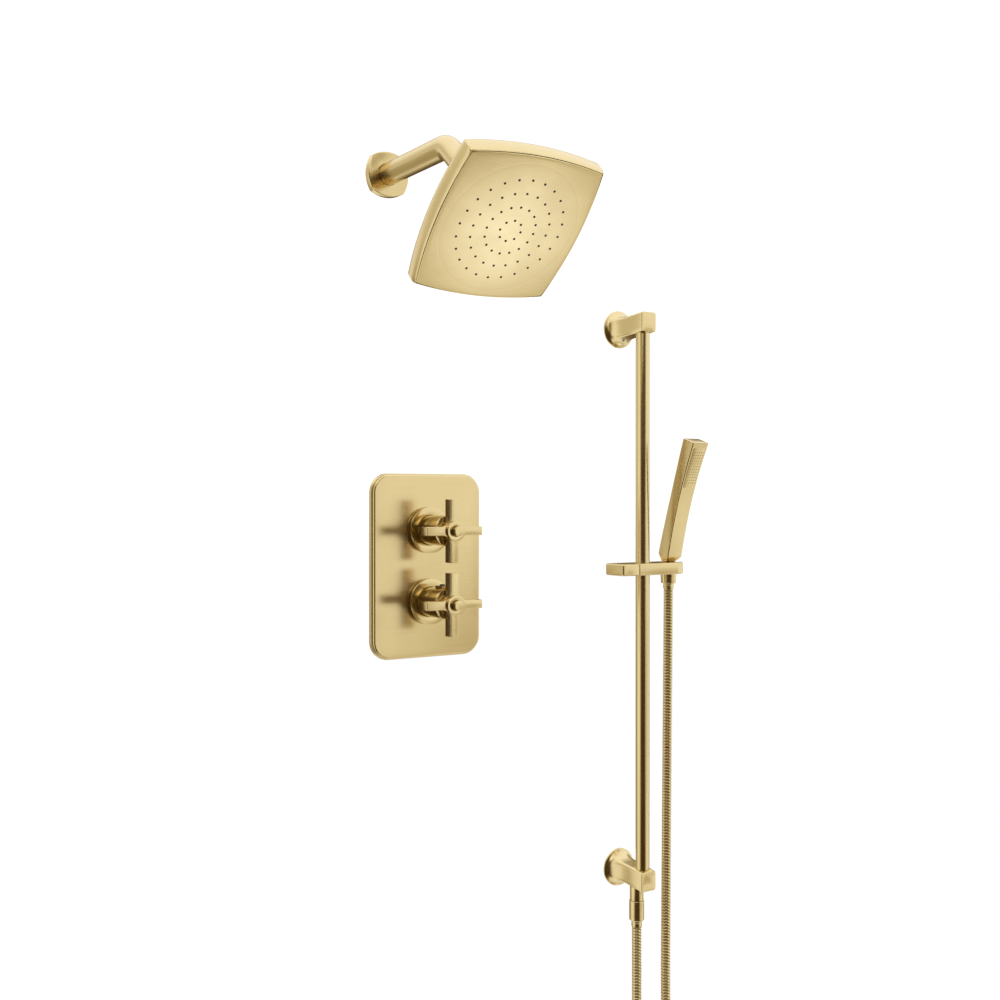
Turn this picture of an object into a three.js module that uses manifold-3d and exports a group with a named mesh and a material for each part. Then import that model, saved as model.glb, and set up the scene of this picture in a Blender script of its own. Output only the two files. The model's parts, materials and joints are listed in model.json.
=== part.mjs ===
// Wall-held shower set: a rain head on a bent arm, a trim plate with two cross handles over a
// concealed valve, and a slide rail that carries a handset on a metal hose.
// Millimetres, +Z up, the wall is the plane y = 0 and the room is towards -Y.
// The origin is the middle of the trim plate's back, on the wall.
import * as THREE from 'three';
import { mergeVertices } from 'three/addons/utils/BufferGeometryUtils.js';
import Module from 'manifold-3d';

const wasm = await Module();
wasm.setup();

// Clearance between neighbouring pieces, and how far a cutting tool runs past a surface
const GAP = 0.3;
const PAST = 2;

// Sides of round pieces: plain ones, and those that are large or run against each other
const SIDES = 16;
const FINE_SIDES = 24;

// Rain head group
const ARM_X = -55;
const ARM_Z = 486.5;
const ARM_RADIUS = 13.7;
const ARM_REACH = 153.7;
const ARM_BEND_RADIUS = 30;
const ARM_LEG_LENGTH = 121;
const ARM_LEG_ANGLE = 41;
const ARM_THREAD_RADIUS = 10.3;
const ARM_THREAD_LENGTH = 20;
const ARM_FLANGE_CHORD = 43.2;
const ARM_FLANGE_BULGE = 6.2;
const ARM_FLANGE_THICKNESS = 9;
const BALL_RADIUS = 11;
const BALL_NECK_RADIUS = 5.5;
const BALL_STUD_LENGTH = 22;
const HEAD_TILT = 45.8;
const HEAD_CHORD = 163.6;
const HEAD_BULGE = 8;
const HEAD_RIM_DEPTH = 22;
const HEAD_WALL_SCALE = 0.98;
const HEAD_FACE_DROP = 55;
const NOZZLE_RADIUS = 1;
const NOZZLE_RINGS = [[12.7, 8], [28.9, 16], [45.2, 20], [61, 24]];

// Valve group
const PLATE_WIDTH = 156;
const PLATE_HEIGHT = 232;
const PLATE_CORNER = 24;
const PLATE_THICKNESS = 10;
const HANDLE_SPACING = 90.2;
const SLEEVE_RADIUS = 29;
const SLEEVE_FRONT = 17;
const SKIRT_RADIUS = 18.8;
const SKIRT_FRONT = 60;
const CROSS_SPAN = 77.8;
const CROSS_BAR_WIDTH = 10.6;
const CROSS_BAR_BACK = 62.2;
const CROSS_BAR_FRONT = 77;
const HUB_RADIUS = 12.2;
const HUB_FRONT = 80.7;
const CAP_RADIUS = 6.1;
const CAP_FRONT = 87.4;
const CARTRIDGE_RADIUS = 15.5;
const STEM_RADIUS = 6.5;
const BUTTON_SIZE = 5.5;
const BUTTON_OUT = 46;
const BUTTON_BOSS_TOP = 22;

// Slide rail group
const RAIL_X = 311;
const RAIL_Y = -54;
const RAIL_RADIUS = 9.5;
const RAIL_SPACING = 762;
const RAIL_MIDDLE_Z = -56;
const BRACKET_FLANGE_RADIUS = 26;
const BRACKET_BLOCK_HALF = 13.4;
const BRACKET_RISE = 3.6;
const BRACKET_FRONT = 67;
const UPPER_BRACKET_Z = RAIL_MIDDLE_Z + RAIL_SPACING / 2;
const LOWER_BRACKET_Z = RAIL_MIDDLE_Z - RAIL_SPACING / 2;
const OUTLET_Y = -41.5;
const OUTLET_COLLAR_TOP = -449.4;
const OUTLET_COLLAR_BOTTOM = -468.4;
const OUTLET_NUT_BOTTOM = -495.9;
const OUTLET_FERRULE_BOTTOM = -505.6;

// Slider, handset and hose
const SLIDER_Z = -11.5;
const SLIDER_THICKNESS = 16;
const SLIDER_HALF_DEPTH = 19.5;
const SLIDER_SEAM_X = 290;
const LEVER_LEFT_X = 262;
const HOLDER_X = 357;
const CONE_TOP_Z = -3.4;
const CONE_BOTTOM_Z = -33;
const CONE_BOTTOM_RADIUS = 10.2;
const CONE_SLOPE = 0.055;
const HOSE_SLOT_WIDTH = 14.5;
const WAND_BASE = [356.6, -57.6, 6.5];
const WAND_LENGTH = 164.3;
const WAND_WIDTH_TOP = 28;
const WAND_DEPTH_TOP = 21.5;
const WAND_LEAN_BASE = 14.5;
const WAND_LEAN_TOP = 23.5;
const WAND_TOP_FACE_LEAN = 18;
const TOP_FERRULE_BOTTOM = -40.5;
const HOSE_RADIUS = 6.6;

// Route of the hose, from under the lower bracket's outlet, round its hanging loop, to the handset
const HOSE_ROUTE = [
  [311, -41.5, -505.9], [311, -41.5, -545], [311, -41.5, -585], [310.2, -41.7, -622],
  [304, -42, -660], [291.5, -42.4, -697], [274, -43, -732], [257, -43.6, -765],
  [245.5, -44.3, -798], [243, -45, -830], [251, -45.8, -862], [270, -46.6, -889],
  [299, -47.4, -907], [333, -48.2, -913], [367, -49, -907], [396, -49.8, -889],
  [415, -50.6, -862], [423, -51.4, -830], [420.5, -52.2, -798], [409, -52.8, -765],
  [391.5, -53.3, -732], [373, -53.7, -697], [359.8, -53.9, -660], [353.2, -54, -622],
  [352.2, -54, -585], [352.7, -54, -500], [353.5, -54, -400], [354.8, -54, -260],
  [356, -54, -140], [357, -54, -40.8],
];
const HOSE_LOOP_END_Z = -913;
const HOSE_SWIVEL_START_Z = -260;
const HOSE_LIFT_START_Z = -140;

const FINISHES = {
  brushedGold: { color: 0xcbb27a, roughness: 0.34, metalness: 1 },
  rawBrass: { color: 0xb08d4c, roughness: 0.45, metalness: 1 },
  steel: { color: 0xa9abad, roughness: 0.35, metalness: 1 },
  rubber: { color: 0x1c1c1c, roughness: 0.85, metalness: 0 },
  silicone: { color: 0x5b4a2c, roughness: 0.6, metalness: 0 },
  plastic: { color: 0xe4e2dc, roughness: 0.5, metalness: 0 },
  darkPlastic: { color: 0x2a241a, roughness: 0.5, metalness: 0 },
};

const object = new THREE.Group();

// ---------- geometry helpers ----------

const radians = THREE.MathUtils.degToRad;

// A closed mesh with shared corners merged, collapsed triangles dropped and its faces pointing out
function closed(geometry) {
  const bare = new THREE.BufferGeometry();
  bare.setAttribute('position', geometry.getAttribute('position').clone());
  if (geometry.index) {
    bare.setIndex(geometry.index.clone());
  }
  const merged = mergeVertices(bare, 1e-4);
  const position = merged.getAttribute('position');
  const corners = merged.index.array;
  const kept = [];
  let volume = 0;
  const [a, b, c] = [new THREE.Vector3(), new THREE.Vector3(), new THREE.Vector3()];
  for (let i = 0; i < corners.length; i += 3) {
    const [p, q, r] = [corners[i], corners[i + 1], corners[i + 2]];
    if (p === q || q === r || r === p) {
      continue;
    }
    kept.push(p, q, r);
    a.fromBufferAttribute(position, p);
    b.fromBufferAttribute(position, q);
    c.fromBufferAttribute(position, r);
    volume += a.dot(b.cross(c)) / 6;
  }
  if (volume < 0) {
    kept.reverse();
  }
  merged.setIndex(kept);
  return merged;
}

function toManifold(geometry) {
  const mesh = closed(geometry);
  return new wasm.Manifold(new wasm.Mesh({
    numProp: 3,
    vertProperties: new Float32Array(mesh.getAttribute('position').array),
    triVerts: new Uint32Array(mesh.index.array),
  }));
}

function fromManifold(manifold) {
  const mesh = manifold.getMesh();
  const geometry = new THREE.BufferGeometry();
  geometry.setAttribute('position', new THREE.BufferAttribute(mesh.vertProperties, 3));
  geometry.setIndex(new THREE.BufferAttribute(mesh.triVerts, 1));
  return geometry;
}

function cut(body, ...tools) {
  let result = toManifold(body);
  for (const tool of tools) {
    result = result.subtract(toManifold(tool));
  }
  return fromManifold(result);
}

function join(body, ...others) {
  let result = toManifold(body);
  for (const other of others) {
    result = result.add(toManifold(other));
  }
  return fromManifold(result);
}

// A solid of revolution about Z from a profile of [radius, height] points
function turned(profile, sides = SIDES) {
  const points = profile.map(([radius, height]) => new THREE.Vector2(radius, height));
  return new THREE.LatheGeometry(points, sides).rotateX(Math.PI / 2);
}

function disc(radius, low, high, sides = SIDES) {
  return turned([[0, low], [radius, low], [radius, high], [0, high]], sides);
}

function ring(inner, outer, low, high, sides = SIDES) {
  return turned([[inner, low], [outer, low], [outer, high], [inner, high], [inner, low]], sides);
}

// A box from its lowest and highest corners
function block([x0, y0, z0], [x1, y1, z1]) {
  return new THREE.BoxGeometry(x1 - x0, y1 - y0, z1 - z0)
    .translate((x0 + x1) / 2, (y0 + y1) / 2, (z0 + z1) / 2);
}

// A solid through a stack of convex rings that all have the same number of points
function loft(rings) {
  const count = rings[0].length;
  const position = rings.flat().flatMap((point) => [point.x, point.y, point.z]);
  const index = [];
  for (let level = 0; level + 1 < rings.length; level += 1) {
    for (let i = 0; i < count; i += 1) {
      const here = level * count + i;
      const next = level * count + ((i + 1) % count);
      index.push(here, next, next + count, here, next + count, here + count);
    }
  }
  const last = (rings.length - 1) * count;
  for (let i = 1; i + 1 < count; i += 1) {
    index.push(0, i + 1, i, last, last + i, last + i + 1);
  }
  const geometry = new THREE.BufferGeometry();
  geometry.setAttribute('position', new THREE.Float32BufferAttribute(position, 3));
  geometry.setIndex(index);
  return geometry;
}

// A ring of points between a circle (power 2) and a rectangle (a high power)
function superellipse(halfX, halfY, power, count) {
  const points = [];
  for (let i = 0; i < count; i += 1) {
    const angle = (i / count) * 2 * Math.PI;
    const [c, s] = [Math.cos(angle), Math.sin(angle)];
    const reach = (Math.abs(c) ** power + Math.abs(s) ** power) ** (-1 / power);
    points.push(new THREE.Vector2(halfX * reach * c, halfY * reach * s));
  }
  return points;
}

// A square outline with sharp corners and sides that bow outwards
function cushion(chord, bulge) {
  const half = chord / 2;
  const bow = half + 2 * bulge;
  const shape = new THREE.Shape();
  shape.moveTo(-half, -half);
  shape.quadraticCurveTo(0, -bow, half, -half);
  shape.quadraticCurveTo(bow, 0, half, half);
  shape.quadraticCurveTo(0, bow, -half, half);
  shape.quadraticCurveTo(-bow, 0, -half, -half);
  return shape;
}

function cushionRing(scale, height) {
  const points = cushion(HEAD_CHORD * scale, HEAD_BULGE * scale).getPoints(6).slice(0, -1);
  return points.map((point) => new THREE.Vector3(point.x, point.y, height));
}

function roundedRectangle(width, height, radius) {
  const [x, y] = [width / 2, height / 2];
  const shape = new THREE.Shape();
  shape.moveTo(x - radius, -y);
  shape.absarc(x - radius, -y + radius, radius, -Math.PI / 2, 0);
  shape.absarc(x - radius, y - radius, radius, 0, Math.PI / 2);
  shape.absarc(-x + radius, y - radius, radius, Math.PI / 2, Math.PI);
  shape.absarc(-x + radius, -y + radius, radius, Math.PI, 1.5 * Math.PI);
  shape.closePath();
  return shape;
}

function extruded(shape, low, high, curveSegments = 4) {
  const settings = { depth: high - low, bevelEnabled: false, curveSegments };
  return new THREE.ExtrudeGeometry(shape, settings).translate(0, 0, low);
}

function tube(path, radius, steps, sides) {
  const section = new THREE.Shape();
  for (let i = 0; i < sides; i += 1) {
    const angle = (i / sides) * 2 * Math.PI;
    const point = [radius * Math.cos(angle), radius * Math.sin(angle)];
    if (i === 0) {
      section.moveTo(...point);
    } else {
      section.lineTo(...point);
    }
  }
  section.closePath();
  return new THREE.ExtrudeGeometry(section, { steps, bevelEnabled: false, extrudePath: path });
}

function part(parent, name, finish, geometry) {
  const mesh = new THREE.Mesh(closed(geometry), new THREE.MeshStandardMaterial(FINISHES[finish]));
  mesh.name = name;
  parent.add(mesh);
  return mesh;
}

// A group whose own +Z points out of the wall into the room, with its own +Y up
function outFromWall(x, z) {
  const group = new THREE.Group();
  group.position.set(x, 0, z);
  group.rotation.x = Math.PI / 2;
  object.add(group);
  return group;
}

function standingAt(x, y) {
  const group = new THREE.Group();
  group.position.set(x, y, 0);
  object.add(group);
  return group;
}

// ---------- rain head group ----------

const legAngle = radians(ARM_LEG_ANGLE);
const ballCentre = new THREE.Vector3(
  ARM_X,
  -ARM_REACH - ARM_LEG_LENGTH * Math.cos(legAngle),
  ARM_Z - ARM_LEG_LENGTH * Math.sin(legAngle),
);

// A group at the ball whose own +Z points back up at the given angle above the horizontal
function atBall(angle) {
  const group = new THREE.Group();
  group.position.copy(ballCentre);
  group.rotation.x = radians(angle - 90);
  object.add(group);
  return group;
}

function buildArmFlange() {
  const flange = outFromWall(ARM_X, ARM_Z);
  const disk = extruded(cushion(ARM_FLANGE_CHORD, ARM_FLANGE_BULGE), 0, ARM_FLANGE_THICKNESS);
  const hole = disc(ARM_RADIUS + 2 * GAP, -PAST, ARM_FLANGE_THICKNESS + PAST, FINE_SIDES);
  const sealSeat = disc(ARM_RADIUS + 3.2, -PAST, 3.2, FINE_SIDES);
  part(flange, 'arm_flange', 'brushedGold', cut(disk, hole, sealSeat));
  const seal = ring(ARM_RADIUS + 2 * GAP, ARM_RADIUS + 2.5, 0.4, 2.8, FINE_SIDES);
  part(flange, 'arm_flange_seal', 'rubber', seal);
}

function buildArm() {
  const corner = new THREE.Vector3(ARM_X, -ARM_REACH, ARM_Z);
  const alongLeg = new THREE.Vector3(0, -Math.cos(legAngle), -Math.sin(legAngle));
  const setback = ARM_BEND_RADIUS * Math.tan(legAngle / 2);
  const bendStart = corner.clone().add(new THREE.Vector3(0, setback, 0));
  const bendEnd = corner.clone().addScaledVector(alongLeg, setback);
  const end = corner.clone().addScaledVector(alongLeg, ARM_LEG_LENGTH - BALL_STUD_LENGTH - GAP);
  const path = new THREE.CurvePath();
  path.add(new THREE.LineCurve3(new THREE.Vector3(ARM_X, -0.5, ARM_Z), bendStart));
  path.add(new THREE.QuadraticBezierCurve3(bendStart, corner, bendEnd));
  path.add(new THREE.LineCurve3(bendEnd, end));
  const thread = disc(ARM_THREAD_RADIUS, -ARM_THREAD_LENGTH, PAST)
    .rotateX(Math.PI / 2)
    .translate(ARM_X, 0, ARM_Z);
  part(object, 'shower_arm', 'brushedGold', join(tube(path, ARM_RADIUS, 16, SIDES), thread));
}

function sphereArc(radius, from, to, steps) {
  const points = [];
  for (let i = 0; i <= steps; i += 1) {
    const angle = radians(from + ((to - from) * i) / steps);
    points.push([radius * Math.sin(angle), radius * Math.cos(angle)]);
  }
  return points;
}

function buildBallJoint() {
  const sides = 20;
  const neckAngle = THREE.MathUtils.radToDeg(Math.asin(BALL_NECK_RADIUS / BALL_RADIUS));
  const stud = [
    ...sphereArc(BALL_RADIUS, 180, neckAngle, 8),
    [BALL_NECK_RADIUS, 17], [ARM_RADIUS, 17], [ARM_RADIUS, BALL_STUD_LENGTH], [0, BALL_STUD_LENGTH],
  ];
  stud[0] = [0, -BALL_RADIUS];
  part(atBall(ARM_LEG_ANGLE), 'ball_stud', 'rawBrass', turned(stud, sides));

  const joint = atBall(HEAD_TILT);
  const seatInner = sphereArc(BALL_RADIUS + GAP, 105, 55, 5);
  const seatOuter = sphereArc(BALL_RADIUS + 2.7, 55, 105, 5);
  part(joint, 'ball_seat_ring', 'plastic', turned([...seatInner, ...seatOuter, seatInner[0]], sides));

  const sealInner = sphereArc(BALL_RADIUS + GAP, 150, 125, 3);
  const seal = [...sealInner, [13.6, -9], [13.6, -14], [5.6, -14], sealInner[0]];
  part(joint, 'lower_ball_seal', 'rubber', turned(seal, sides));

  const socket = sphereArc(14, 50, 90, 4);
  const nut = [...socket, [14, -19.2], [19.5, -19.2], [20.5, -16], [20.5, -7], [17.5, 8], [12, 9.6]];
  part(joint, 'ball_collar_nut', 'brushedGold', turned([...nut, socket[0]], sides));
}

function buildHead() {
  const head = atBall(HEAD_TILT);
  const face = -HEAD_FACE_DROP;
  const rimBack = face + HEAD_RIM_DEPTH;
  const outer = loft([
    cushionRing(1, face), cushionRing(1, rimBack - 4), cushionRing(0.975, rimBack),
    cushionRing(0.88, rimBack + 6),
    cushionRing(0.64, rimBack + 10), cushionRing(0.4, rimBack + 12), cushionRing(0.22, rimBack + 13.4),
  ]);
  const inner = loft([
    cushionRing(HEAD_WALL_SCALE, face - PAST), cushionRing(HEAD_WALL_SCALE, rimBack - 1),
    cushionRing(0.86, rimBack + 4), cushionRing(0.62, rimBack + 7.6), cushionRing(0.3, rimBack + 9.6),
  ]);
  const inlet = disc(9, rimBack + 2, rimBack + 20);
  part(head, 'head_back_shell', 'brushedGold', cut(outer, inner, inlet));

  const insideChord = HEAD_CHORD * HEAD_WALL_SCALE - 2 * GAP;
  const insideBulge = HEAD_BULGE * HEAD_WALL_SCALE;
  const plate = extruded(cushion(insideChord, insideBulge), face, face + 2.5, 6);
  const holes = [];
  for (const [radius, count] of NOZZLE_RINGS) {
    for (let i = 0; i < count; i += 1) {
      const angle = (i / count) * 2 * Math.PI;
      const hole = disc(NOZZLE_RADIUS, face - PAST, face + 2.5 + PAST, 4);
      holes.push(hole.translate(radius * Math.cos(angle), radius * Math.sin(angle), 0));
    }
  }
  part(head, 'head_face_plate', 'brushedGold', cut(plate, ...holes));

  part(head, 'head_nozzle_sheet', 'silicone', disc(69.6, face + 2.8, face + 4.8, FINE_SIDES));
  part(head, 'head_gasket', 'rubber', ring(70.6, 76, face + 2.8, face + 5.4, FINE_SIDES));
  const innerPlate = extruded(cushion(insideChord - 6, insideBulge), face + 5.7, face + 8.7, 4);
  part(head, 'head_inner_plate', 'darkPlastic', cut(innerPlate, disc(8, face, face + 20)));
  part(head, 'head_inlet_filter', 'steel', ring(3, 8.6, rimBack + 10.4, rimBack + 12.4));
}

// ---------- valve group ----------

function buildTrimPlate() {
  const plate = outFromWall(0, 0);
  const step = 3;
  const edge = extruded(roundedRectangle(PLATE_WIDTH, PLATE_HEIGHT, PLATE_CORNER), 0, 6);
  const raised = roundedRectangle(PLATE_WIDTH - step, PLATE_HEIGHT - step, PLATE_CORNER - step / 2);
  const front = extruded(raised, 5, PLATE_THICKNESS);
  const holes = [-1, 1].map((side) => disc(CARTRIDGE_RADIUS + 1.5, -PAST, PLATE_THICKNESS + PAST)
    .translate(0, (side * HANDLE_SPACING) / 2, 0));
  const groove = (inset, low, high) => extruded(
    roundedRectangle(PLATE_WIDTH - 2 * inset, PLATE_HEIGHT - 2 * inset, PLATE_CORNER - inset),
    low,
    high,
  );
  const grooveRing = cut(groove(6, -PAST, 1.6), groove(10, -2 * PAST, 4));
  part(plate, 'trim_plate', 'brushedGold', cut(join(edge, front), ...holes, grooveRing));
  const gasket = cut(groove(6 + GAP, 0.1, 1.3), groove(10 - GAP, -PAST, 4));
  part(plate, 'plate_gasket', 'rubber', gasket);
}

function buildValveBody() {
  const body = block([-38, 9, -78], [38, 58, 78]);
  const bore = (z) => disc(CARTRIDGE_RADIUS + 0.5, -34, PAST)
    .rotateX(Math.PI / 2)
    .translate(0, 0, z);
  const sidePort = disc(13, -50, 50).rotateY(Math.PI / 2).translate(0, 36, -HANDLE_SPACING / 2);
  const endPort = disc(13, -92, 92).translate(0, 44, 0);
  const solid = join(body, sidePort, endPort);
  const wet = cut(solid, bore(HANDLE_SPACING / 2), bore(-HANDLE_SPACING / 2));
  part(object, 'valve_body', 'rawBrass', wet);
}

// Everything one handle needs, from the cartridge in the wall to the cap in its hub
function buildHandle(name, z, hasButton) {
  const handle = outFromWall(0, z);
  const back = -28;
  part(handle, `${name}_cartridge`, 'rawBrass', turned([
    [0, back], [CARTRIDGE_RADIUS, back], [CARTRIDGE_RADIUS, 33], [7, 33], [7, -20.5], [0, -20.5],
  ]));
  part(handle, `${name}_sleeve`, 'brushedGold', turned([
    [26.5, PLATE_THICKNESS + GAP], [SLEEVE_RADIUS, PLATE_THICKNESS + GAP],
    [SLEEVE_RADIUS, SLEEVE_FRONT - 0.8], [SLEEVE_RADIUS - 0.8, SLEEVE_FRONT],
    [SKIRT_RADIUS + 0.6, SLEEVE_FRONT], [SKIRT_RADIUS + 0.6, SLEEVE_FRONT - 2.5],
    [26.5, SLEEVE_FRONT - 2.5], [26.5, PLATE_THICKNESS + GAP],
  ], FINE_SIDES));
  const skirt = turned([
    [16.5, 14], [SKIRT_RADIUS, 14], [SKIRT_RADIUS, SKIRT_FRONT - 0.8], [SKIRT_RADIUS - 0.8, SKIRT_FRONT],
    [4, SKIRT_FRONT], [4, 56.5], [16.5, 56.5], [16.5, 14],
  ], FINE_SIDES);
  const halfSlot = BUTTON_SIZE / 2 + GAP;
  const buttonSlot = block([-halfSlot, 12, BUTTON_OUT - halfSlot], [halfSlot, 30, BUTTON_OUT + halfSlot]);
  const boss = block([-4.8, 17.5, 36], [4.8, BUTTON_BOSS_TOP, 55]);
  part(handle, `${name}_skirt`, 'brushedGold', hasButton ? cut(join(skirt, boss), buttonSlot) : skirt);

  const stem = turned([
    [0, -20], [STEM_RADIUS, -20], [STEM_RADIUS, 56.2], [3, 56.2], [3, 47], [0, 47],
  ]);
  part(handle, `${name}_stem`, 'rawBrass', stem);

  const [half, span] = [CROSS_BAR_WIDTH / 2, CROSS_SPAN / 2];
  const hub = disc(HUB_RADIUS, SKIRT_FRONT + GAP, HUB_FRONT, FINE_SIDES);
  const levelBar = block([-span, -half, CROSS_BAR_BACK], [span, half, CROSS_BAR_FRONT]);
  const uprightBar = block([-half, -span, CROSS_BAR_BACK], [half, span, CROSS_BAR_FRONT]);
  const screwHole = disc(3.2, SKIRT_FRONT - PAST, HUB_FRONT + PAST);
  const screwSeat = disc(5, 73.7, HUB_FRONT + PAST);
  const capSeat = disc(CAP_RADIUS + 0.5, HUB_FRONT - 2.2, HUB_FRONT + PAST);
  const cross = cut(join(hub, levelBar, uprightBar), screwHole, screwSeat, capSeat);
  part(handle, `${name}_cross`, 'brushedGold', cross);
  part(handle, `${name}_screw`, 'steel', turned([
    [0, 48], [2.6, 48], [2.6, 74], [4.5, 74], [4.5, 77.5], [0, 77.5],
  ], 12));
  part(handle, `${name}_cap`, 'brushedGold', turned([
    [0, HUB_FRONT - 1.9], [CAP_RADIUS, HUB_FRONT - 1.9], [CAP_RADIUS, CAP_FRONT - 0.8],
    [CAP_RADIUS - 0.8, CAP_FRONT], [0, CAP_FRONT],
  ]));
  return handle;
}

function buildSafetyButton(handle) {
  const half = BUTTON_SIZE / 2;
  const cap = block([-half, 15.2, BUTTON_OUT - half], [half, 23.8, BUTTON_OUT + half]);
  const foot = block([-3.4, 14.6, BUTTON_OUT - 3.4], [3.4, 15.7, BUTTON_OUT + 3.4]);
  part(handle, 'safety_button', 'darkPlastic', join(cap, foot));

  const [coils, steps, low, high] = [3, 24, 7.4, 13.8];
  const helix = new THREE.CatmullRomCurve3(Array.from({ length: steps + 1 }, (_, i) => {
    const angle = (i / steps) * coils * 2 * Math.PI;
    const height = low + ((high - low) * i) / steps;
    return new THREE.Vector3(1.9 * Math.cos(angle), height, BUTTON_OUT + 1.9 * Math.sin(angle));
  }));
  part(handle, 'safety_button_spring', 'steel', tube(helix, 0.35, steps, 4));
}

function buildValve() {
  buildTrimPlate();
  buildValveBody();
  buildHandle('volume', HANDLE_SPACING / 2, false);
  const handle = buildHandle('temperature', -HANDLE_SPACING / 2, true);
  const stop = join(ring(7.4, 14, 33.3, 35.5), block([-2, 8.5, 34], [2, 13.5, 38]));
  part(handle, 'temperature_stop_ring', 'plastic', stop);
  buildSafetyButton(handle);
}

// ---------- slide rail group ----------

// One casting that flares from the square block round the rail to a round wall flange. The block
// sits above the flange's centre by rise, and the arm between them slopes
function bracketCasting(rise, backHole) {
  const [flange, block] = [BRACKET_FLANGE_RADIUS, BRACKET_BLOCK_HALF];
  const sections = [
    [0, flange, 0, 2], [2, flange, 0, 2], [5, 21.6, 0, 2.1], [9, 18.2, 0, 2.6], [15, 15.6, 0, 4],
    [30, block, 0.05, 7], [BRACKET_FRONT, block, 1, 7],
  ];
  const rings = sections.map(([out, half, share, power]) => superellipse(half - share * 0.7, half, power, 24)
    .map((point) => new THREE.Vector3(point.x, point.y + share * rise, out)));
  const grubHole = disc(2.4, -30, 0, 12).rotateX(-Math.PI / 2).translate(0, 0, 12);
  return cut(loft(rings), backHole, grubHole);
}

function railHole(low, high) {
  return disc(RAIL_RADIUS + GAP, low, high, FINE_SIDES).rotateX(-Math.PI / 2).translate(0, 0, -RAIL_Y);
}

function grubScrew(parent, name, postRadius) {
  const screw = disc(2.1, -17.5, -postRadius - GAP, 12).rotateX(-Math.PI / 2);
  part(parent, name, 'steel', screw.translate(0, 0, 12));
}

function buildUpperBracket() {
  const bracket = outFromWall(RAIL_X, UPPER_BRACKET_Z - BRACKET_RISE);
  const casting = cut(
    bracketCasting(BRACKET_RISE, disc(9.3, -PAST, 22)),
    railHole(-30, 8 + BRACKET_RISE),
  );
  part(bracket, 'upper_bracket', 'brushedGold', casting);
  part(bracket, 'upper_wall_post', 'rawBrass', turned([
    [3, 0.2], [9, 0.2], [9, 20], [5.2, 20], [5.2, 15.5], [3, 15.5], [3, 0.2],
  ]));
  part(bracket, 'upper_wall_screw', 'steel', turned([
    [0, -27], [1.2, -24], [2.6, -20], [2.6, 15.8], [4.8, 15.8], [4.8, 18.8], [0, 18.8],
  ], 12));
  grubScrew(bracket, 'upper_grub_screw', 9);
}

function buildLowerBracket() {
  const bracket = outFromWall(RAIL_X, LOWER_BRACKET_Z + BRACKET_RISE);
  const spigotHole = disc(7.1, -34, -6 - BRACKET_RISE)
    .rotateX(-Math.PI / 2)
    .translate(0, 0, -OUTLET_Y);
  const casting = cut(
    bracketCasting(-BRACKET_RISE, disc(10.6, -PAST, 26)),
    railHole(-3 - BRACKET_RISE, 30),
    spigotHole,
  );
  part(bracket, 'lower_bracket', 'brushedGold', casting);
  part(bracket, 'lower_inlet_nipple', 'rawBrass', ring(6, 10.2, -18, 22));
  grubScrew(bracket, 'lower_grub_screw', 10.2);
}

function buildRail() {
  const stand = standingAt(RAIL_X, RAIL_Y);
  const [low, high] = [LOWER_BRACKET_Z - 2.7, UPPER_BRACKET_Z + 7.7];
  part(stand, 'rail', 'brushedGold', ring(8, RAIL_RADIUS, low, high, FINE_SIDES));
}

function buildOutlet() {
  const outlet = standingAt(RAIL_X, OUTLET_Y);
  part(outlet, 'outlet_collar', 'brushedGold', turned([
    [5, OUTLET_COLLAR_BOTTOM - 10], [8.6, OUTLET_COLLAR_BOTTOM - 10], [8.6, OUTLET_COLLAR_BOTTOM],
    [9.4, OUTLET_COLLAR_BOTTOM], [9.4, OUTLET_COLLAR_TOP], [6.8, OUTLET_COLLAR_TOP],
    [6.8, OUTLET_COLLAR_TOP + 6], [5, OUTLET_COLLAR_TOP + 6], [5, OUTLET_COLLAR_BOTTOM - 10],
  ]));
  const washerTop = OUTLET_COLLAR_BOTTOM - 10 - GAP;
  part(outlet, 'outlet_washer', 'rubber', ring(4, 8.6, washerTop - 2, washerTop));
  part(outlet, 'hose_outlet_nut', 'brushedGold', turned([
    [8.9, OUTLET_COLLAR_BOTTOM - GAP], [9.8, OUTLET_COLLAR_BOTTOM - GAP],
    [10.35, OUTLET_COLLAR_BOTTOM - 1.2], [10.35, OUTLET_NUT_BOTTOM + 0.8], [9.6, OUTLET_NUT_BOTTOM],
    [6.6, OUTLET_NUT_BOTTOM], [6.6, -484], [8.9, -484], [8.9, OUTLET_COLLAR_BOTTOM - GAP],
  ]));
  part(outlet, 'hose_outlet_ferrule', 'brushedGold', turned([
    [3.5, -481.2], [6.3, -481.2], [6.3, OUTLET_NUT_BOTTOM - GAP], [7.3, OUTLET_NUT_BOTTOM - GAP],
    [7.3, OUTLET_FERRULE_BOTTOM], [3.5, OUTLET_FERRULE_BOTTOM], [3.5, -481.2],
  ]));
}

// ---------- slider, handset and hose ----------

const sliderLow = SLIDER_Z - SLIDER_THICKNESS / 2;
const sliderHigh = SLIDER_Z + SLIDER_THICKNESS / 2;
const coneRadius = (z) => CONE_BOTTOM_RADIUS + (z - CONE_BOTTOM_Z) * CONE_SLOPE;

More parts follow.
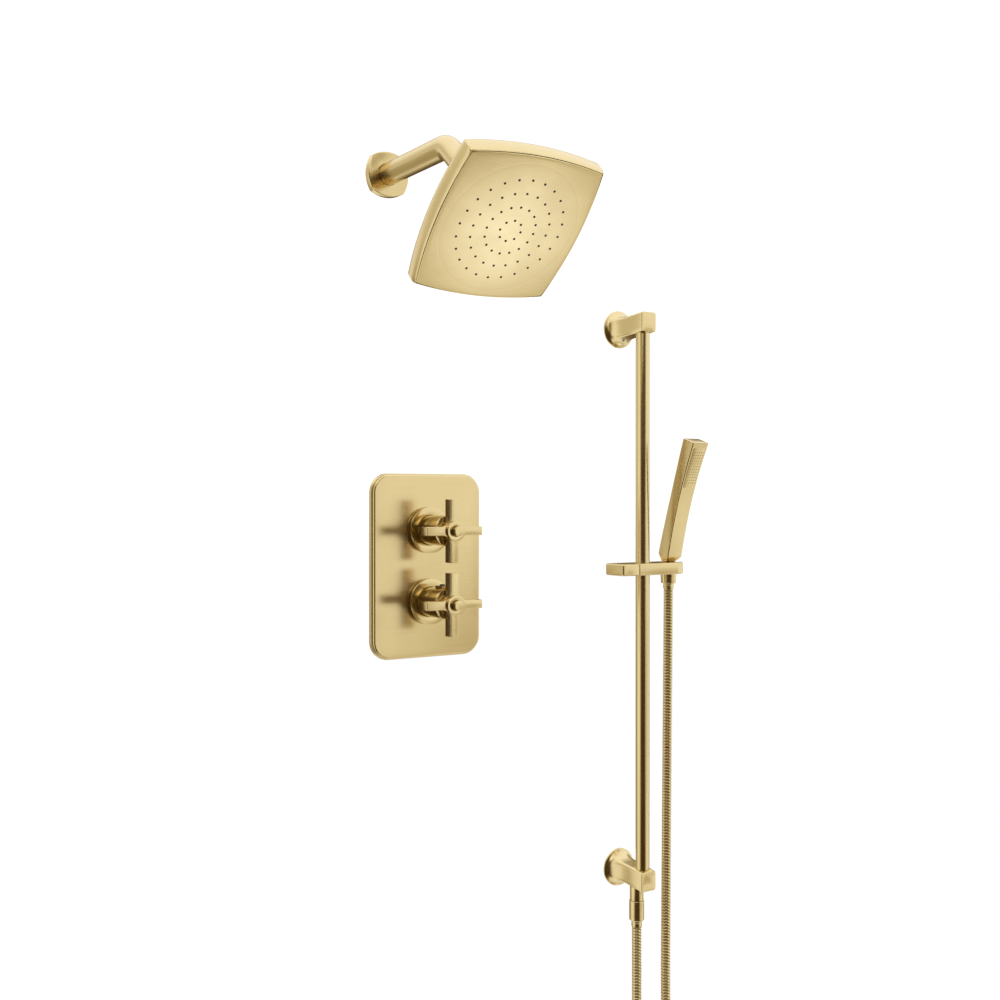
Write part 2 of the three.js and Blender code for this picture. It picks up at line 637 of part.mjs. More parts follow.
function buildSlider() {
  const bushRadius = RAIL_RADIUS + 2.5;
  const rail = standingAt(RAIL_X, RAIL_Y);
  const bush = ring(RAIL_RADIUS + GAP, bushRadius, sliderLow + 0.2, sliderHigh - 0.2, FINE_SIDES);
  part(rail, 'slider_bush', 'plastic', bush);

  const outline = new THREE.Shape();
  outline.moveTo(SLIDER_SEAM_X, RAIL_Y - SLIDER_HALF_DEPTH);
  outline.absarc(HOLDER_X, RAIL_Y, SLIDER_HALF_DEPTH, -Math.PI / 2, Math.PI / 2);
  outline.lineTo(SLIDER_SEAM_X, RAIL_Y + SLIDER_HALF_DEPTH);
  outline.closePath();
  const slab = extruded(outline, sliderLow, sliderHigh, 16);
  const [below, above] = [sliderLow - PAST, sliderHigh + PAST];
  const railBore = disc(bushRadius + GAP, below, above, FINE_SIDES).translate(RAIL_X, RAIL_Y, 0);
  const coneBore = turned([
    [0, below], [coneRadius(below) + GAP, below], [coneRadius(above) + GAP, above], [0, above],
  ], FINE_SIDES).translate(HOLDER_X, RAIL_Y, 0);
  const halfSlot = HOSE_SLOT_WIDTH / 2;
  const slot = block([HOLDER_X, RAIL_Y - halfSlot, below], [HOLDER_X + 30, RAIL_Y + halfSlot, above]);
  const screwBore = disc(4.3, SLIDER_SEAM_X - PAST, RAIL_X - RAIL_RADIUS)
    .rotateY(Math.PI / 2)
    .translate(0, RAIL_Y, SLIDER_Z);
  part(object, 'slider_body', 'brushedGold', cut(slab, railBore, coneBore, slot, screwBore));

  const lever = new THREE.Group();
  lever.position.set(0, RAIL_Y, SLIDER_Z);
  lever.rotation.y = Math.PI / 2;
  object.add(lever);
  const side = roundedRectangle(SLIDER_THICKNESS, 2 * SLIDER_HALF_DEPTH, 1.5);
  const paddle = extruded(side, LEVER_LEFT_X, SLIDER_SEAM_X - GAP, 2);
  part(lever, 'clamp_lever', 'brushedGold', cut(paddle, disc(4.3, 268, 300)));
  part(lever, 'clamp_screw', 'steel', disc(4, 268.3, 298.6));
}

function wandPoint(distance) {
  const point = new THREE.Vector3(...WAND_BASE);
  const steps = 12;
  for (let i = 0; i < steps; i += 1) {
    const at = ((i + 0.5) / steps) * distance;
    const lean = radians(wandLean(at));
    point.y -= Math.sin(lean) * (distance / steps);
    point.z += Math.cos(lean) * (distance / steps);
  }
  return point;
}

function wandLean(distance) {
  return WAND_LEAN_BASE + ((WAND_LEAN_TOP - WAND_LEAN_BASE) * distance) / WAND_LENGTH;
}

// A section of the wand round a point, in a plane that leans back by an angle in degrees
function wandRing(middle, angle, width, depth, power) {
  const lean = radians(angle);
  return superellipse(width / 2, depth / 2, power, 24).map(({ x, y }) => new THREE.Vector3(
    middle.x + x,
    middle.y + y * Math.cos(lean),
    middle.z + y * Math.sin(lean),
  ));
}

function buildHandset() {
  const socketFloor = CONE_TOP_Z + 0.4;
  const foot = superellipse(7.6, 7.6, 3, 24)
    .map(({ x, y }) => new THREE.Vector3(HOLDER_X + x, RAIL_Y + y, socketFloor));
  const sections = [[0, 25, 21], [35, 25, 19], [80, 25.2, 18], [120, 26, 18.8]];
  const rings = sections.map(([at, width, depth]) => (
    wandRing(wandPoint(at), wandLean(at), width, depth, 14)
  ));
  const top = wandPoint(WAND_LENGTH);
  rings.push(wandRing(top, WAND_TOP_FACE_LEAN, WAND_WIDTH_TOP, WAND_DEPTH_TOP, 14));
  const wand = loft([foot, ...rings]);
  const tailSocket = disc(6.4, -20, 10).translate(HOLDER_X, RAIL_Y, 0);

  const sprayMiddle = WAND_LENGTH - 35;
  const centre = wandPoint(sprayMiddle);
  const tilt = -radians(wandLean(sprayMiddle));
  const placed = (geometry) => geometry.rotateX(-tilt).translate(centre.x, centre.y, centre.z);
  const pocket = placed(block([-10.5, -20, -29], [10.5, -6.4, 29]));
  part(object, 'handset_body', 'brushedGold', cut(wand, tailSocket, pocket));
  const spray = block([-10.2, -9.5, -28.7], [10.2, -6.7, 28.7]);
  part(object, 'handset_spray_face', 'brushedGold', placed(spray));

  const topLean = radians(WAND_TOP_FACE_LEAN);
  const outOfTop = new THREE.Vector3(0, -Math.sin(topLean), Math.cos(topLean));
  const capRing = (height, width, depth, power) => (
    wandRing(top.clone().addScaledVector(outOfTop, height), WAND_TOP_FACE_LEAN, width, depth, power)
  );
  part(object, 'handset_end_cap', 'brushedGold', loft([
    capRing(GAP, WAND_WIDTH_TOP, WAND_DEPTH_TOP, 14), capRing(GAP + 0.6, 26.4, 19.8, 12),
    capRing(GAP + 1.1, 18, 12.6, 6), capRing(GAP + 1.3, 6, 4, 3),
  ]));

  const holder = standingAt(HOLDER_X, RAIL_Y);
  part(holder, 'handset_connector', 'rawBrass', turned([
    [3.5, -18], [8.6, -18], [8.6, CONE_TOP_Z - GAP], [6, CONE_TOP_Z - GAP], [6, 6], [3.5, 6], [3.5, -18],
  ]));
  const nutTop = CONE_TOP_Z - GAP;
  part(holder, 'hose_cone_nut', 'brushedGold', turned([
    [6.6, CONE_BOTTOM_Z], [CONE_BOTTOM_RADIUS - 0.6, CONE_BOTTOM_Z],
    [CONE_BOTTOM_RADIUS, CONE_BOTTOM_Z + 0.6], [coneRadius(nutTop), nutTop], [8.9, nutTop],
    [8.9, -20.6], [6.6, -20.6], [6.6, CONE_BOTTOM_Z],
  ], FINE_SIDES));
  part(holder, 'handset_washer', 'rubber', ring(4, 8.6, -20.3, -18.3));
  part(holder, 'hose_top_ferrule', 'brushedGold', turned([
    [3.5, -20.6], [6.3, -20.6], [6.3, CONE_BOTTOM_Z - GAP], [7.35, CONE_BOTTOM_Z - GAP],
    [7.35, TOP_FERRULE_BOTTOM], [3.5, TOP_FERRULE_BOTTOM], [3.5, -20.6],
  ]));
}

// A stretch of a longer curve, between two shares of its length
class Stretch extends THREE.Curve {
  constructor(whole, from, to) {
    super();
    this.whole = whole;
    this.from = from;
    this.to = to;
  }

  getPoint(share, target = new THREE.Vector3()) {
    return this.whole.getPointAt(THREE.MathUtils.lerp(this.from, this.to, share), target);
  }
}

function buildHose() {
  const route = new THREE.CatmullRomCurve3(HOSE_ROUTE.map((point) => new THREE.Vector3(...point)));
  route.arcLengthDivisions = 2000;
  const length = route.getLength();
  const shareToEnd = (z) => 1 - (HOSE_ROUTE.at(-1)[2] - z) / length;
  const loopEnd = HOSE_ROUTE.findIndex((point) => point[2] === HOSE_LOOP_END_Z);
  const loopShare = lengthBefore(route, loopEnd) / length;
  const stretches = [
    ['hose_loop', 0, loopShare, 18],
    ['hose_strand', loopShare, shareToEnd(HOSE_SWIVEL_START_Z), 22],
    ['hose_swivel_strand', shareToEnd(HOSE_SWIVEL_START_Z), shareToEnd(HOSE_LIFT_START_Z), 3],
    ['hose_lift_strand', shareToEnd(HOSE_LIFT_START_Z), 1, 3],
  ];
  for (const [name, from, to, steps] of stretches) {
    const start = from === 0 ? 0 : from + GAP / length;
    const path = new Stretch(route, start, to);
    path.arcLengthDivisions = 400;
    part(object, name, 'brushedGold', tube(path, HOSE_RADIUS, steps, 8));
  }
}

function lengthBefore(route, index) {
  const samples = route.getLengths();
  return samples[Math.round((index / (HOSE_ROUTE.length - 1)) * (samples.length - 1))];
}

buildArmFlange();
buildArm();
buildBallJoint();
buildHead();
buildValve();
buildUpperBracket();
buildLowerBracket();
buildRail();
buildOutlet();
buildSlider();
buildHandset();
buildHose();

export default object;
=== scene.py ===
import json
import math

import bmesh
import bpy
from mathutils import Matrix, Vector


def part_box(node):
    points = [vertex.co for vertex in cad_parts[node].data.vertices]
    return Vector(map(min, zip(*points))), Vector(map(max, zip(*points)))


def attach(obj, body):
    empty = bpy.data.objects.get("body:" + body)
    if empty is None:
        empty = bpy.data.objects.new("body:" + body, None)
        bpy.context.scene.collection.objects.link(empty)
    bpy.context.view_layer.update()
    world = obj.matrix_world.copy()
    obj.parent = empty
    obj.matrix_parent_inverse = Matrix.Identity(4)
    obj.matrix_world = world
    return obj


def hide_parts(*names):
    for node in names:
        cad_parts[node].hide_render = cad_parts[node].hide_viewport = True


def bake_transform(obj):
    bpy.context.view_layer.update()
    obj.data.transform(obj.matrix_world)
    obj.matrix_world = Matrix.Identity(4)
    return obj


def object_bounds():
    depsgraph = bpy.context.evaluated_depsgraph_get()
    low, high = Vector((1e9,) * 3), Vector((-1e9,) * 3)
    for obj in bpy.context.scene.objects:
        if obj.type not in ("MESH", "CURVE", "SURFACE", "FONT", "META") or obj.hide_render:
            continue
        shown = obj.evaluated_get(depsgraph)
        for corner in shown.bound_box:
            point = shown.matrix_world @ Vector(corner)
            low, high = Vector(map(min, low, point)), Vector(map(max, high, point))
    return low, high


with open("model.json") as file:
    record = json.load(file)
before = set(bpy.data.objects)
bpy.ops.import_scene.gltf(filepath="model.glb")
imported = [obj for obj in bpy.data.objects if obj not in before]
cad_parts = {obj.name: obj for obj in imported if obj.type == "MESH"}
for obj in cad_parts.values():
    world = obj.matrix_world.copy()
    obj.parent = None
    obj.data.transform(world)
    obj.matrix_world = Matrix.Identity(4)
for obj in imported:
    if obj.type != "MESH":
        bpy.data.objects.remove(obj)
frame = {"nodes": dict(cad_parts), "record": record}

CAD_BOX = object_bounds()
MM = 0.001
JOINTS = {joint["name"]: joint for joint in frame["record"]["behaviour"]["joints"]}
SLOTS = {row["node"]: row["material_slot"] for row in frame["record"]["subparts"]}
BODY_OF = {
    node: body
    for body, nodes in frame["record"]["behaviour"]["bodies"].items()
    for node in nodes
}


# ---------- camera ----------

def make_camera():
    """The viewing angle: level with the valve, turned a third of a right angle to the right."""
    data = bpy.data.cameras.new("camera")
    data.lens = 44.08
    data.sensor_width = 36
    data.clip_end = 60
    camera = bpy.data.objects.new("camera", data)
    camera.location = (-0.7542, -1.3627, 0.0873)
    camera.rotation_euler = (math.radians(89.836), 0, math.radians(-32.5))
    bpy.context.collection.objects.link(camera)
    bpy.context.scene.camera = camera


# ---------- materials ----------

GOLD = (0.76, 0.605, 0.305)
GOLD_SHADE = (0.70, 0.545, 0.262)
# Painted shade: a dark brown laid into the hose's grooves between turns.
HOSE_GROOVE_PAINTED_SHADE = (0.26, 0.16, 0.05, 1)
# Where a colour Mix node keeps its factor and two colours, and its result.
MIX_COLOUR_INPUTS = (0, 6, 7)
MIX_COLOUR_OUTPUT = 2


class Nodes:
    """A new node material with a Principled shader, and short ways to add to it."""

    def __init__(self, name):
        self.material = bpy.data.materials.new(name)
        self.material.use_nodes = True
        self.tree = self.material.node_tree
        self.shader = self.tree.nodes["Principled BSDF"]
        self.place = self.add("ShaderNodeTexCoord").outputs["Object"]

    def add(self, kind, **settings):
        node = self.tree.nodes.new(kind)
        for key, value in settings.items():
            setattr(node, key, value)
        return node

    def join(self, source, target):
        self.tree.links.new(source, target)

    def noise(self, stretch, scale, detail=3.0, roughness=0.6):
        mapping = self.add("ShaderNodeMapping")
        mapping.inputs["Scale"].default_value = stretch
        self.join(self.place, mapping.inputs["Vector"])
        noise = self.add("ShaderNodeTexNoise")
        noise.inputs["Scale"].default_value = scale
        noise.inputs["Detail"].default_value = detail
        noise.inputs["Roughness"].default_value = roughness
        self.join(mapping.outputs["Vector"], noise.inputs["Vector"])
        return noise.outputs["Fac"]

    def spread(self, value, low, high, start=0.3, end=0.7):
        node = self.add("ShaderNodeMapRange")
        node.inputs["From Min"].default_value = start
        node.inputs["From Max"].default_value = end
        node.inputs["To Min"].default_value = low
        node.inputs["To Max"].default_value = high
        self.join(value, node.inputs["Value"])
        return node.outputs["Result"]

    def colours(self, value, *stops):
        ramp = self.add("ShaderNodeValToRGB").color_ramp
        node = self.tree.nodes[-1]
        while len(ramp.elements) < len(stops):
            ramp.elements.new(0.5)
        for element, (at, colour) in zip(ramp.elements, stops):
            element.position = at
            element.color = (*colour, 1)
        self.join(value, node.inputs["Fac"])
        return node.outputs["Color"]

    def bump(self, height, strength, distance):
        node = self.add("ShaderNodeBump")
        node.inputs["Strength"].default_value = strength
        node.inputs["Distance"].default_value = distance
        self.join(height, node.inputs["Height"])
        self.join(node.outputs["Normal"], self.shader.inputs["Normal"])


def darker(colour, share):
    return tuple(channel * share for channel in colour)


def brushed_metal(name, colour, shade, grain, roughness=0.3):
    """Satin metal with fine brushing. grain is how much the noise is squeezed along X, Y and Z."""
    nodes = Nodes(name)
    fine = nodes.noise(grain, 1.0, detail=4)
    smudge = nodes.noise((1, 1, 1), 22.0, detail=2)
    tint = nodes.colours(fine, (0.25, shade), (0.55, colour), (0.85, darker(colour, 1.03)))
    nodes.join(tint, nodes.shader.inputs["Base Color"])
    streaks = nodes.spread(fine, -0.025, 0.03)
    wear = nodes.spread(smudge, roughness - 0.02, roughness + 0.03)
    total = nodes.add("ShaderNodeMath", operation="ADD")
    nodes.join(streaks, total.inputs[0])
    nodes.join(wear, total.inputs[1])
    nodes.join(total.outputs["Value"], nodes.shader.inputs["Roughness"])
    nodes.bump(fine, 0.07, 0.00004)
    nodes.shader.inputs["Metallic"].default_value = 1.0
    nodes.shader.inputs["Anisotropic"].default_value = 0.3
    return nodes.material


def hose_metal(name):
    """The sheath's metal, with painted shade down in the groove between two turns."""
    material = brushed_metal(name, GOLD, GOLD_SHADE, (500, 500, 500), 0.22)
    tree = material.node_tree
    shader = tree.nodes["Principled BSDF"]
    tint = shader.inputs["Base Color"].links[0].from_socket
    depth = tree.nodes.new("ShaderNodeAttribute")
    depth.attribute_name = "groove_shade_mask"
    # Mixes the painted groove shade into the metal's colour by groove depth.
    mix = tree.nodes.new("ShaderNodeMix")
    mix.data_type = "RGBA"
    share, crest, groove = (mix.inputs[i] for i in MIX_COLOUR_INPUTS)
    groove.default_value = HOSE_GROOVE_PAINTED_SHADE
    tree.links.new(depth.outputs["Fac"], share)
    tree.links.new(tint, crest)
    tree.links.new(mix.outputs[MIX_COLOUR_OUTPUT], shader.inputs["Base Color"])
    return material


def moulded(name, colour, roughness, grain_scale=900.0):
    """Plastic, rubber or silicone with a fine moulded grain."""
    nodes = Nodes(name)
    grain = nodes.noise((1, 1, 1), grain_scale)
    mottle = nodes.noise((1, 1, 1), 60.0)
    tint = nodes.colours(mottle, (0.3, darker(colour, 0.82)), (0.7, colour))
    nodes.join(tint, nodes.shader.inputs["Base Color"])
    rough = nodes.spread(grain, roughness - 0.06, roughness + 0.08)
    nodes.join(rough, nodes.shader.inputs["Roughness"])
    nodes.bump(grain, 0.3, 0.0001)
    return nodes.material


GRAIN_UPRIGHT = (1400, 1400, 14)
GRAIN_LEVEL = (22, 22, 1400)
GRAIN_INWARD = (1400, 14, 1400)
GRAIN_TURNED = (22, 1400, 22)
GRAIN_ACROSS = (14, 1400, 1400)


def make_materials():
    made = {
        "gold_upright": brushed_metal("gold_upright", GOLD, GOLD_SHADE, GRAIN_UPRIGHT, 0.23),
        "gold_level": brushed_metal("gold_level", GOLD, GOLD_SHADE, GRAIN_LEVEL, 0.23),
        "gold_inward": brushed_metal("gold_inward", GOLD, GOLD_SHADE, GRAIN_INWARD, 0.24),
        "gold_turned": brushed_metal("gold_turned", GOLD, GOLD_SHADE, GRAIN_TURNED, 0.17),
        "gold_across": brushed_metal("gold_across", GOLD, GOLD_SHADE, GRAIN_ACROSS, 0.23),
        "gold_plate": brushed_metal("gold_plate", GOLD, GOLD_SHADE, GRAIN_ACROSS, 0.21),
        "gold_face": brushed_metal("gold_face", GOLD, GOLD_SHADE, GRAIN_ACROSS, 0.21),
        "gold_hose": hose_metal("gold_hose"),
        "raw_brass": brushed_metal(
            "raw_brass", (0.55, 0.37, 0.13), (0.38, 0.24, 0.08), (300, 300, 300), 0.4),
        "steel": brushed_metal(
            "steel", (0.55, 0.56, 0.57), (0.4, 0.41, 0.42), GRAIN_LEVEL, 0.32),
        "black_rubber": moulded("black_rubber", (0.012, 0.012, 0.012), 0.75),
        "nozzle_silicone": moulded("nozzle_silicone", (0.045, 0.028, 0.010), 0.55),
        "white_plastic": moulded("white_plastic", (0.72, 0.70, 0.66), 0.45),
        "dark_plastic": moulded("dark_plastic", (0.022, 0.016, 0.010), 0.42),
    }
    return made


# ---------- mesh helpers ----------

def along(matrix, rows):
    return [[matrix @ Vector(point) for point in row] for row in rows]


def new_mesh(name, points, faces, smooth=32, bevel=0.0, segments=3, bevel_angle=40):
    """A mesh object, its sharp edges rounded by bevel metres, shaded smooth below an angle."""
    mesh = bpy.data.meshes.new(name)
    mesh.from_pydata([tuple(point) for point in points], [], faces)
    bm = bmesh.new()
    bm.from_mesh(mesh)
    bmesh.ops.remove_doubles(bm, verts=bm.verts, dist=1e-7)
    bmesh.ops.recalc_face_normals(bm, faces=bm.faces)
    if bevel:
        limit = math.radians(bevel_angle)
        edges = [e for e in bm.edges if e.is_manifold and e.calc_face_angle(0) > limit]
        bmesh.ops.bevel(
            bm, geom=edges, offset=bevel, segments=segments, profile=0.5, affect="EDGES",
            clamp_overlap=True)
    bm.to_mesh(mesh)
    bm.free()
    return shade(add_object(name, mesh), smooth)


def add_object(name, mesh):
    made = bpy.data.objects.new(name, mesh)
    bpy.context.collection.objects.link(made)
    return made


def shade(made, smooth):
    mesh = made.data
    mesh.polygons.foreach_set("use_smooth", [True] * len(mesh.polygons))
    mesh.set_sharp_from_angle(angle=math.radians(smooth))
    return made


def loft(name, rings, closed_ends=True, **settings):
    """A skin through rings that all have the same number of points."""
    count = len(rings[0])
    points = [point for row in rings for point in row]
    faces = []
    for level in range(len(rings) - 1):
        for i in range(count):
            here = level * count + i
            beside = level * count + (i + 1) % count
            faces.append((here, beside, beside + count, here + count))
    if closed_ends:
        faces.append(tuple(reversed(range(count))))
        last = (len(rings) - 1) * count
        faces.append(tuple(range(last, last + count)))
    return new_mesh(name, points, faces, **settings)


def soften(profile, radius, steps=3, closed=False):
    """A profile of (radius, height) points with its corners rounded."""
    out = []
    count = len(profile)
    for i, corner in enumerate(profile):
        at_end = not closed and i in (0, count - 1)
        if at_end:
            out.append(corner)
            continue
        here = Vector(corner)
        before = Vector(profile[i - 1]) - here
        after = Vector(profile[(i + 1) % count]) - here
        reach = min(radius, before.length * 0.45, after.length * 0.45)
        start = here + before.normalized() * reach
        end = here + after.normalized() * reach
        for k in range(steps + 1):
            t = k / steps
            point = start * (1 - t) ** 2 + here * 2 * t * (1 - t) + end * t * t
            out.append((point.x, point.y))
    return out


def turned(name, profile, matrix, radius=0.4, closed=False, sides=96, smooth=32):
    """A solid of revolution about the matrix's Z. profile holds (radius, height) in millimetres."""
    outline = soften(profile, radius, closed=closed)
    points = []
    faces = []
    for r, h in outline:
        for k in range(sides):
            angle = 2 * math.pi * k / sides
            local = Vector((r * math.cos(angle), r * math.sin(angle), h)) * MM
            points.append(matrix @ local)
    rows = len(outline)
    for row in range(rows if closed else rows - 1):
        following = (row + 1) % rows
        for k in range(sides):
            beside = (k + 1) % sides
            faces.append((
                row * sides + k, row * sides + beside,
                following * sides + beside, following * sides + k))
    return new_mesh(name, points, faces, smooth=smooth)


def rounded_rectangle(width, height, radius, steps=8):
    """Outline points, anticlockwise, with the same count whatever the size."""
    points = []
    for turn, (sx, sy) in enumerate(((1, -1), (1, 1), (-1, 1), (-1, -1))):
        cx, cy = sx * (width / 2 - radius), sy * (height / 2 - radius)
        for k in range(steps + 1):
            angle = math.radians(-90 + 90 * turn + 90 * k / steps)
            points.append((cx + radius * math.cos(angle), cy + radius * math.sin(angle)))
    return points


def superellipse(half_x, half_y, power, count=96):
    points = []
    for k in range(count):
        angle = 2 * math.pi * k / count
        c, s = math.cos(angle), math.sin(angle)
        reach = (abs(c) ** power + abs(s) ** power) ** (-1 / power)
        points.append((half_x * reach * c, half_y * reach * s))
    return points


def cushion(chord, bulge, per_side=20, corner=0.0):
    """A square outline whose sides bow outwards, with corners cut back by corner millimetres."""
    half = chord / 2
    points = []
    for turn in range(4):
        angle = math.radians(90 * turn)
        c, s = math.cos(angle), math.sin(angle)
        trim = corner / chord
        for k in range(per_side):
            t = trim + (1 - 2 * trim) * k / (per_side - (1 if corner else 0))
            x = half + 4 * bulge * t * (1 - t)
            y = -half + chord * t
            points.append((x * c - y * s, x * s + y * c))
    return points


def at_height(outline, height, scale=1.0):
    return [Vector((x * scale, y * scale, height)) * MM for x, y in outline]


def cut_out(made, tool):
    """Takes the tool's shape out of the piece, and deletes the tool."""
    step = made.modifiers.new("cut", "BOOLEAN")
    step.operation = "DIFFERENCE"
    step.solver = "EXACT"
    step.object = tool
    graph = bpy.context.evaluated_depsgraph_get()
    mesh = bpy.data.meshes.new_from_object(made.evaluated_get(graph))
    made.modifiers.clear()
    made.data = mesh
    bpy.data.objects.remove(tool)
    return made


def finish_piece(made, material, node, *more_nodes, replace=True, slot=None):
    """Gives the piece its material and its body, and hides the CAD nodes that it replaces."""
    made.data.materials.clear()
    made.data.materials.append(material)
    for polygon in made.data.polygons:
        polygon.material_index = 0
    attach(made, BODY_OF[node])
    if replace:
        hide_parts(node, *more_nodes)
    return made


def middle(node):
    low, high = (Vector(corner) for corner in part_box(node))
    return (low + high) / 2


def lowest(node):
    return Vector(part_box(node)[0])


def highest(node):
    return Vector(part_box(node)[1])


def out_of_wall(x, z):
    """A place on the wall whose own Z points into the room and whose own Y points up."""
    return Matrix(((1, 0, 0, x), (0, 0, -1, 0), (0, 1, 0, z), (0, 0, 0, 1)))


def standing(x, y):
    return Matrix.Translation((x, y, 0))


# ---------- hose ----------

HOSE_RADIUS = 6.6
HOSE_PITCH = 4.1
HOSE_GROOVE = 1.3
HOSE_ROUTE = [
    (311, -41.5, -505.9), (311, -41.5, -545), (311, -41.5, -585), (310.2, -41.7, -622),
    (304, -42, -660), (291.5, -42.4, -697), (274, -43, -732), (257, -43.6, -765),
    (245.5, -44.3, -798), (243, -45, -830), (251, -45.8, -862), (270, -46.6, -889),
    (299, -47.4, -907), (333, -48.2, -913), (367, -49, -907), (396, -49.8, -889),
    (415, -50.6, -862), (423, -51.4, -830), (420.5, -52.2, -798), (409, -52.8, -765),
    (391.5, -53.3, -732), (373, -53.7, -697), (359.8, -53.9, -660), (353.2, -54, -622),
    (352.2, -54, -585), (352.7, -54, -500), (353.5, -54, -400), (354.8, -54, -260),
    (356, -54, -140), (357, -54, -40.8),
]
SWIVEL_START_Z = -260
LIFT_START_Z = -140


def smooth_route(points, per_span=40):
    """A centripetal Catmull-Rom curve through the points."""
    ends = [points[0] * 2 - points[1], *points, points[-1] * 2 - points[-2]]
    line = [points[0]]
    for a, b, c, d in zip(ends, ends[1:], ends[2:], ends[3:]):
        ta = 0.0
        tb = ta + (b - a).length ** 0.5
        tc = tb + (c - b).length ** 0.5
        td = tc + (d - c).length ** 0.5
        for k in range(1, per_span + 1):
            t = tb + (tc - tb) * k / per_span
            ab = a * ((tb - t) / (tb - ta)) + b * ((t - ta) / (tb - ta))
            bc = b * ((tc - t) / (tc - tb)) + c * ((t - tb) / (tc - tb))
            cd = c * ((td - t) / (td - tc)) + d * ((t - tc) / (td - tc))
            abc = ab * ((tc - t) / (tc - ta)) + bc * ((t - ta) / (tc - ta))
            bcd = bc * ((td - t) / (td - tb)) + cd * ((t - tb) / (td - tb))
            line.append(abc * ((tc - t) / (tc - tb)) + bcd * ((t - tb) / (tc - tb)))
    return line


def evenly(line, step):
    """The line's points again, evenly spaced, each with its distance from the start."""
    out = [(0.0, line[0])]
    travelled = 0.0
    wanted = step
    for a, b in zip(line, line[1:]):
        span = (b - a).length
        while span and travelled + span >= wanted:
            out.append((wanted, a.lerp(b, (wanted - travelled) / span)))
            wanted += step
        travelled += span
    return out


def hose_stretch(name, samples, material):
    """A tube of interlocked spiral sheath along the samples."""
    sides = 28
    rings = []
    depths = []
    across = Vector((0, 1, 0))
    for i, (distance, point) in enumerate(samples):
        before = samples[max(i - 1, 0)][1]
        after = samples[min(i + 1, len(samples) - 1)][1]
        forward = (after - before).normalized()
        side = (across - forward * across.dot(forward)).normalized()
        other = forward.cross(side)
        row = []
        for k in range(sides):
            angle = 2 * math.pi * k / sides
            wave = math.cos(2 * math.pi * (distance / HOSE_PITCH) + angle)
            groove = max(0.0, wave + 0.1) / 1.1
            radius = HOSE_RADIUS - HOSE_GROOVE * groove
            depths.append(groove)
            row.append((point + (side * math.cos(angle) + other * math.sin(angle)) * radius) * MM)
        rings.append(row)
    made = loft(name, rings, smooth=50)
    # The groove depth at each point, kept as the mask for the painted groove shade.
    shadow = made.data.attributes.new("groove_shade_mask", "FLOAT", "POINT")
    shadow.data.foreach_set("value", depths)
    made.data.materials.append(material)
    return made


def declare_hose(made, samples, pieces, lay):
    spacing = max(1, len(samples) // 60)
    path = [point * MM for distance, point in samples[::spacing]]
    if (path[-1] - samples[-1][1] * MM).length > 1e-6:
        path.append(samples[-1][1] * MM)


def make_hose(material):
    line = smooth_route([Vector(point) for point in HOSE_ROUTE])
    samples = evenly(line, HOSE_PITCH / (8))
    bottom = min(range(len(samples)), key=lambda i: samples[i][1].z)
    rising = range(bottom, len(samples))
    swivel = min(rising, key=lambda i: abs(samples[i][1].z - SWIVEL_START_Z))
    lift = min(rising, key=lambda i: abs(samples[i][1].z - LIFT_START_Z))
    cuts = [0, bottom, swivel, lift, len(samples) - 1]
    names = ["hose_loop", "hose_strand", "hose_swivel_strand", "hose_lift_strand"]
    crossings = [None, ("root", "slider_bush"), ("slider_bush", "slider_body"), ("slider_body", "hose_end")]
    made = []
    for name, first, last, crossing in zip(names, cuts, cuts[1:], crossings):
        part = samples[first:last + 1]
        tube = hose_stretch(name + "_sheath", part, material)
        if crossing is None:
            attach(tube, "root")
        else:
            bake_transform(tube)
        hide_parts(name)
        made.append((tube, part))
    return made


# ---------- rain head ----------

ARM_RADIUS = 13.7
ARM_BEND_RADIUS = 30
ARM_REACH = 153.7
ARM_LEG_ANGLE = 41
HEAD_TILT = 45.8
HEAD_CHORD = 164.4
HEAD_BULGE = 8
HEAD_FACE_DROP = 55
HEAD_RIM_DEPTH = 22
FACE_SHARE = 0.971
FACE_EDGE_SHARE = 0.99
FACE_CROWN = 3.4
FACE_CROWN_REACH = 105
FACE_RING_RADIUS = 80
FACE_ROWS = 18
NOZZLE_RINGS = ((12.7, 8), (28.9, 16), (45.2, 20), (61, 24))


def at_ball(angle):
    """At the ball joint, with Z back up the arm at that angle above level."""
    a = math.radians(angle)
    x, y, z = JOINTS["head_tilt"]["pos_m"]
    c, s = math.cos(a), math.sin(a)
    return Matrix(((1, 0, 0, x), (0, s, c, y), (0, -c, s, z), (0, 0, 0, 1)))


def make_arm_flange(materials):
    centre = middle("arm_flange")
    place = out_of_wall(centre.x, centre.z)
    outline = cushion(43.2, 6.2, per_side=24, corner=0.8)
    heights = ((0, 1.0), (7.9, 1.0), (8.6, 0.991), (9.0, 0.968))
    rings = [[place @ p for p in at_height(outline, h, s)] for h, s in heights]
    reach = ARM_RADIUS + 0.3
    hole = turned("hole", [(0, -5), (reach, -5), (reach, 20), (0, 20)], place, radius=0)
    flange = cut_out(loft("arm_flange_face", rings, smooth=30), hole)
    finish_piece(shade(flange, 30), materials["gold_across"], "arm_flange")


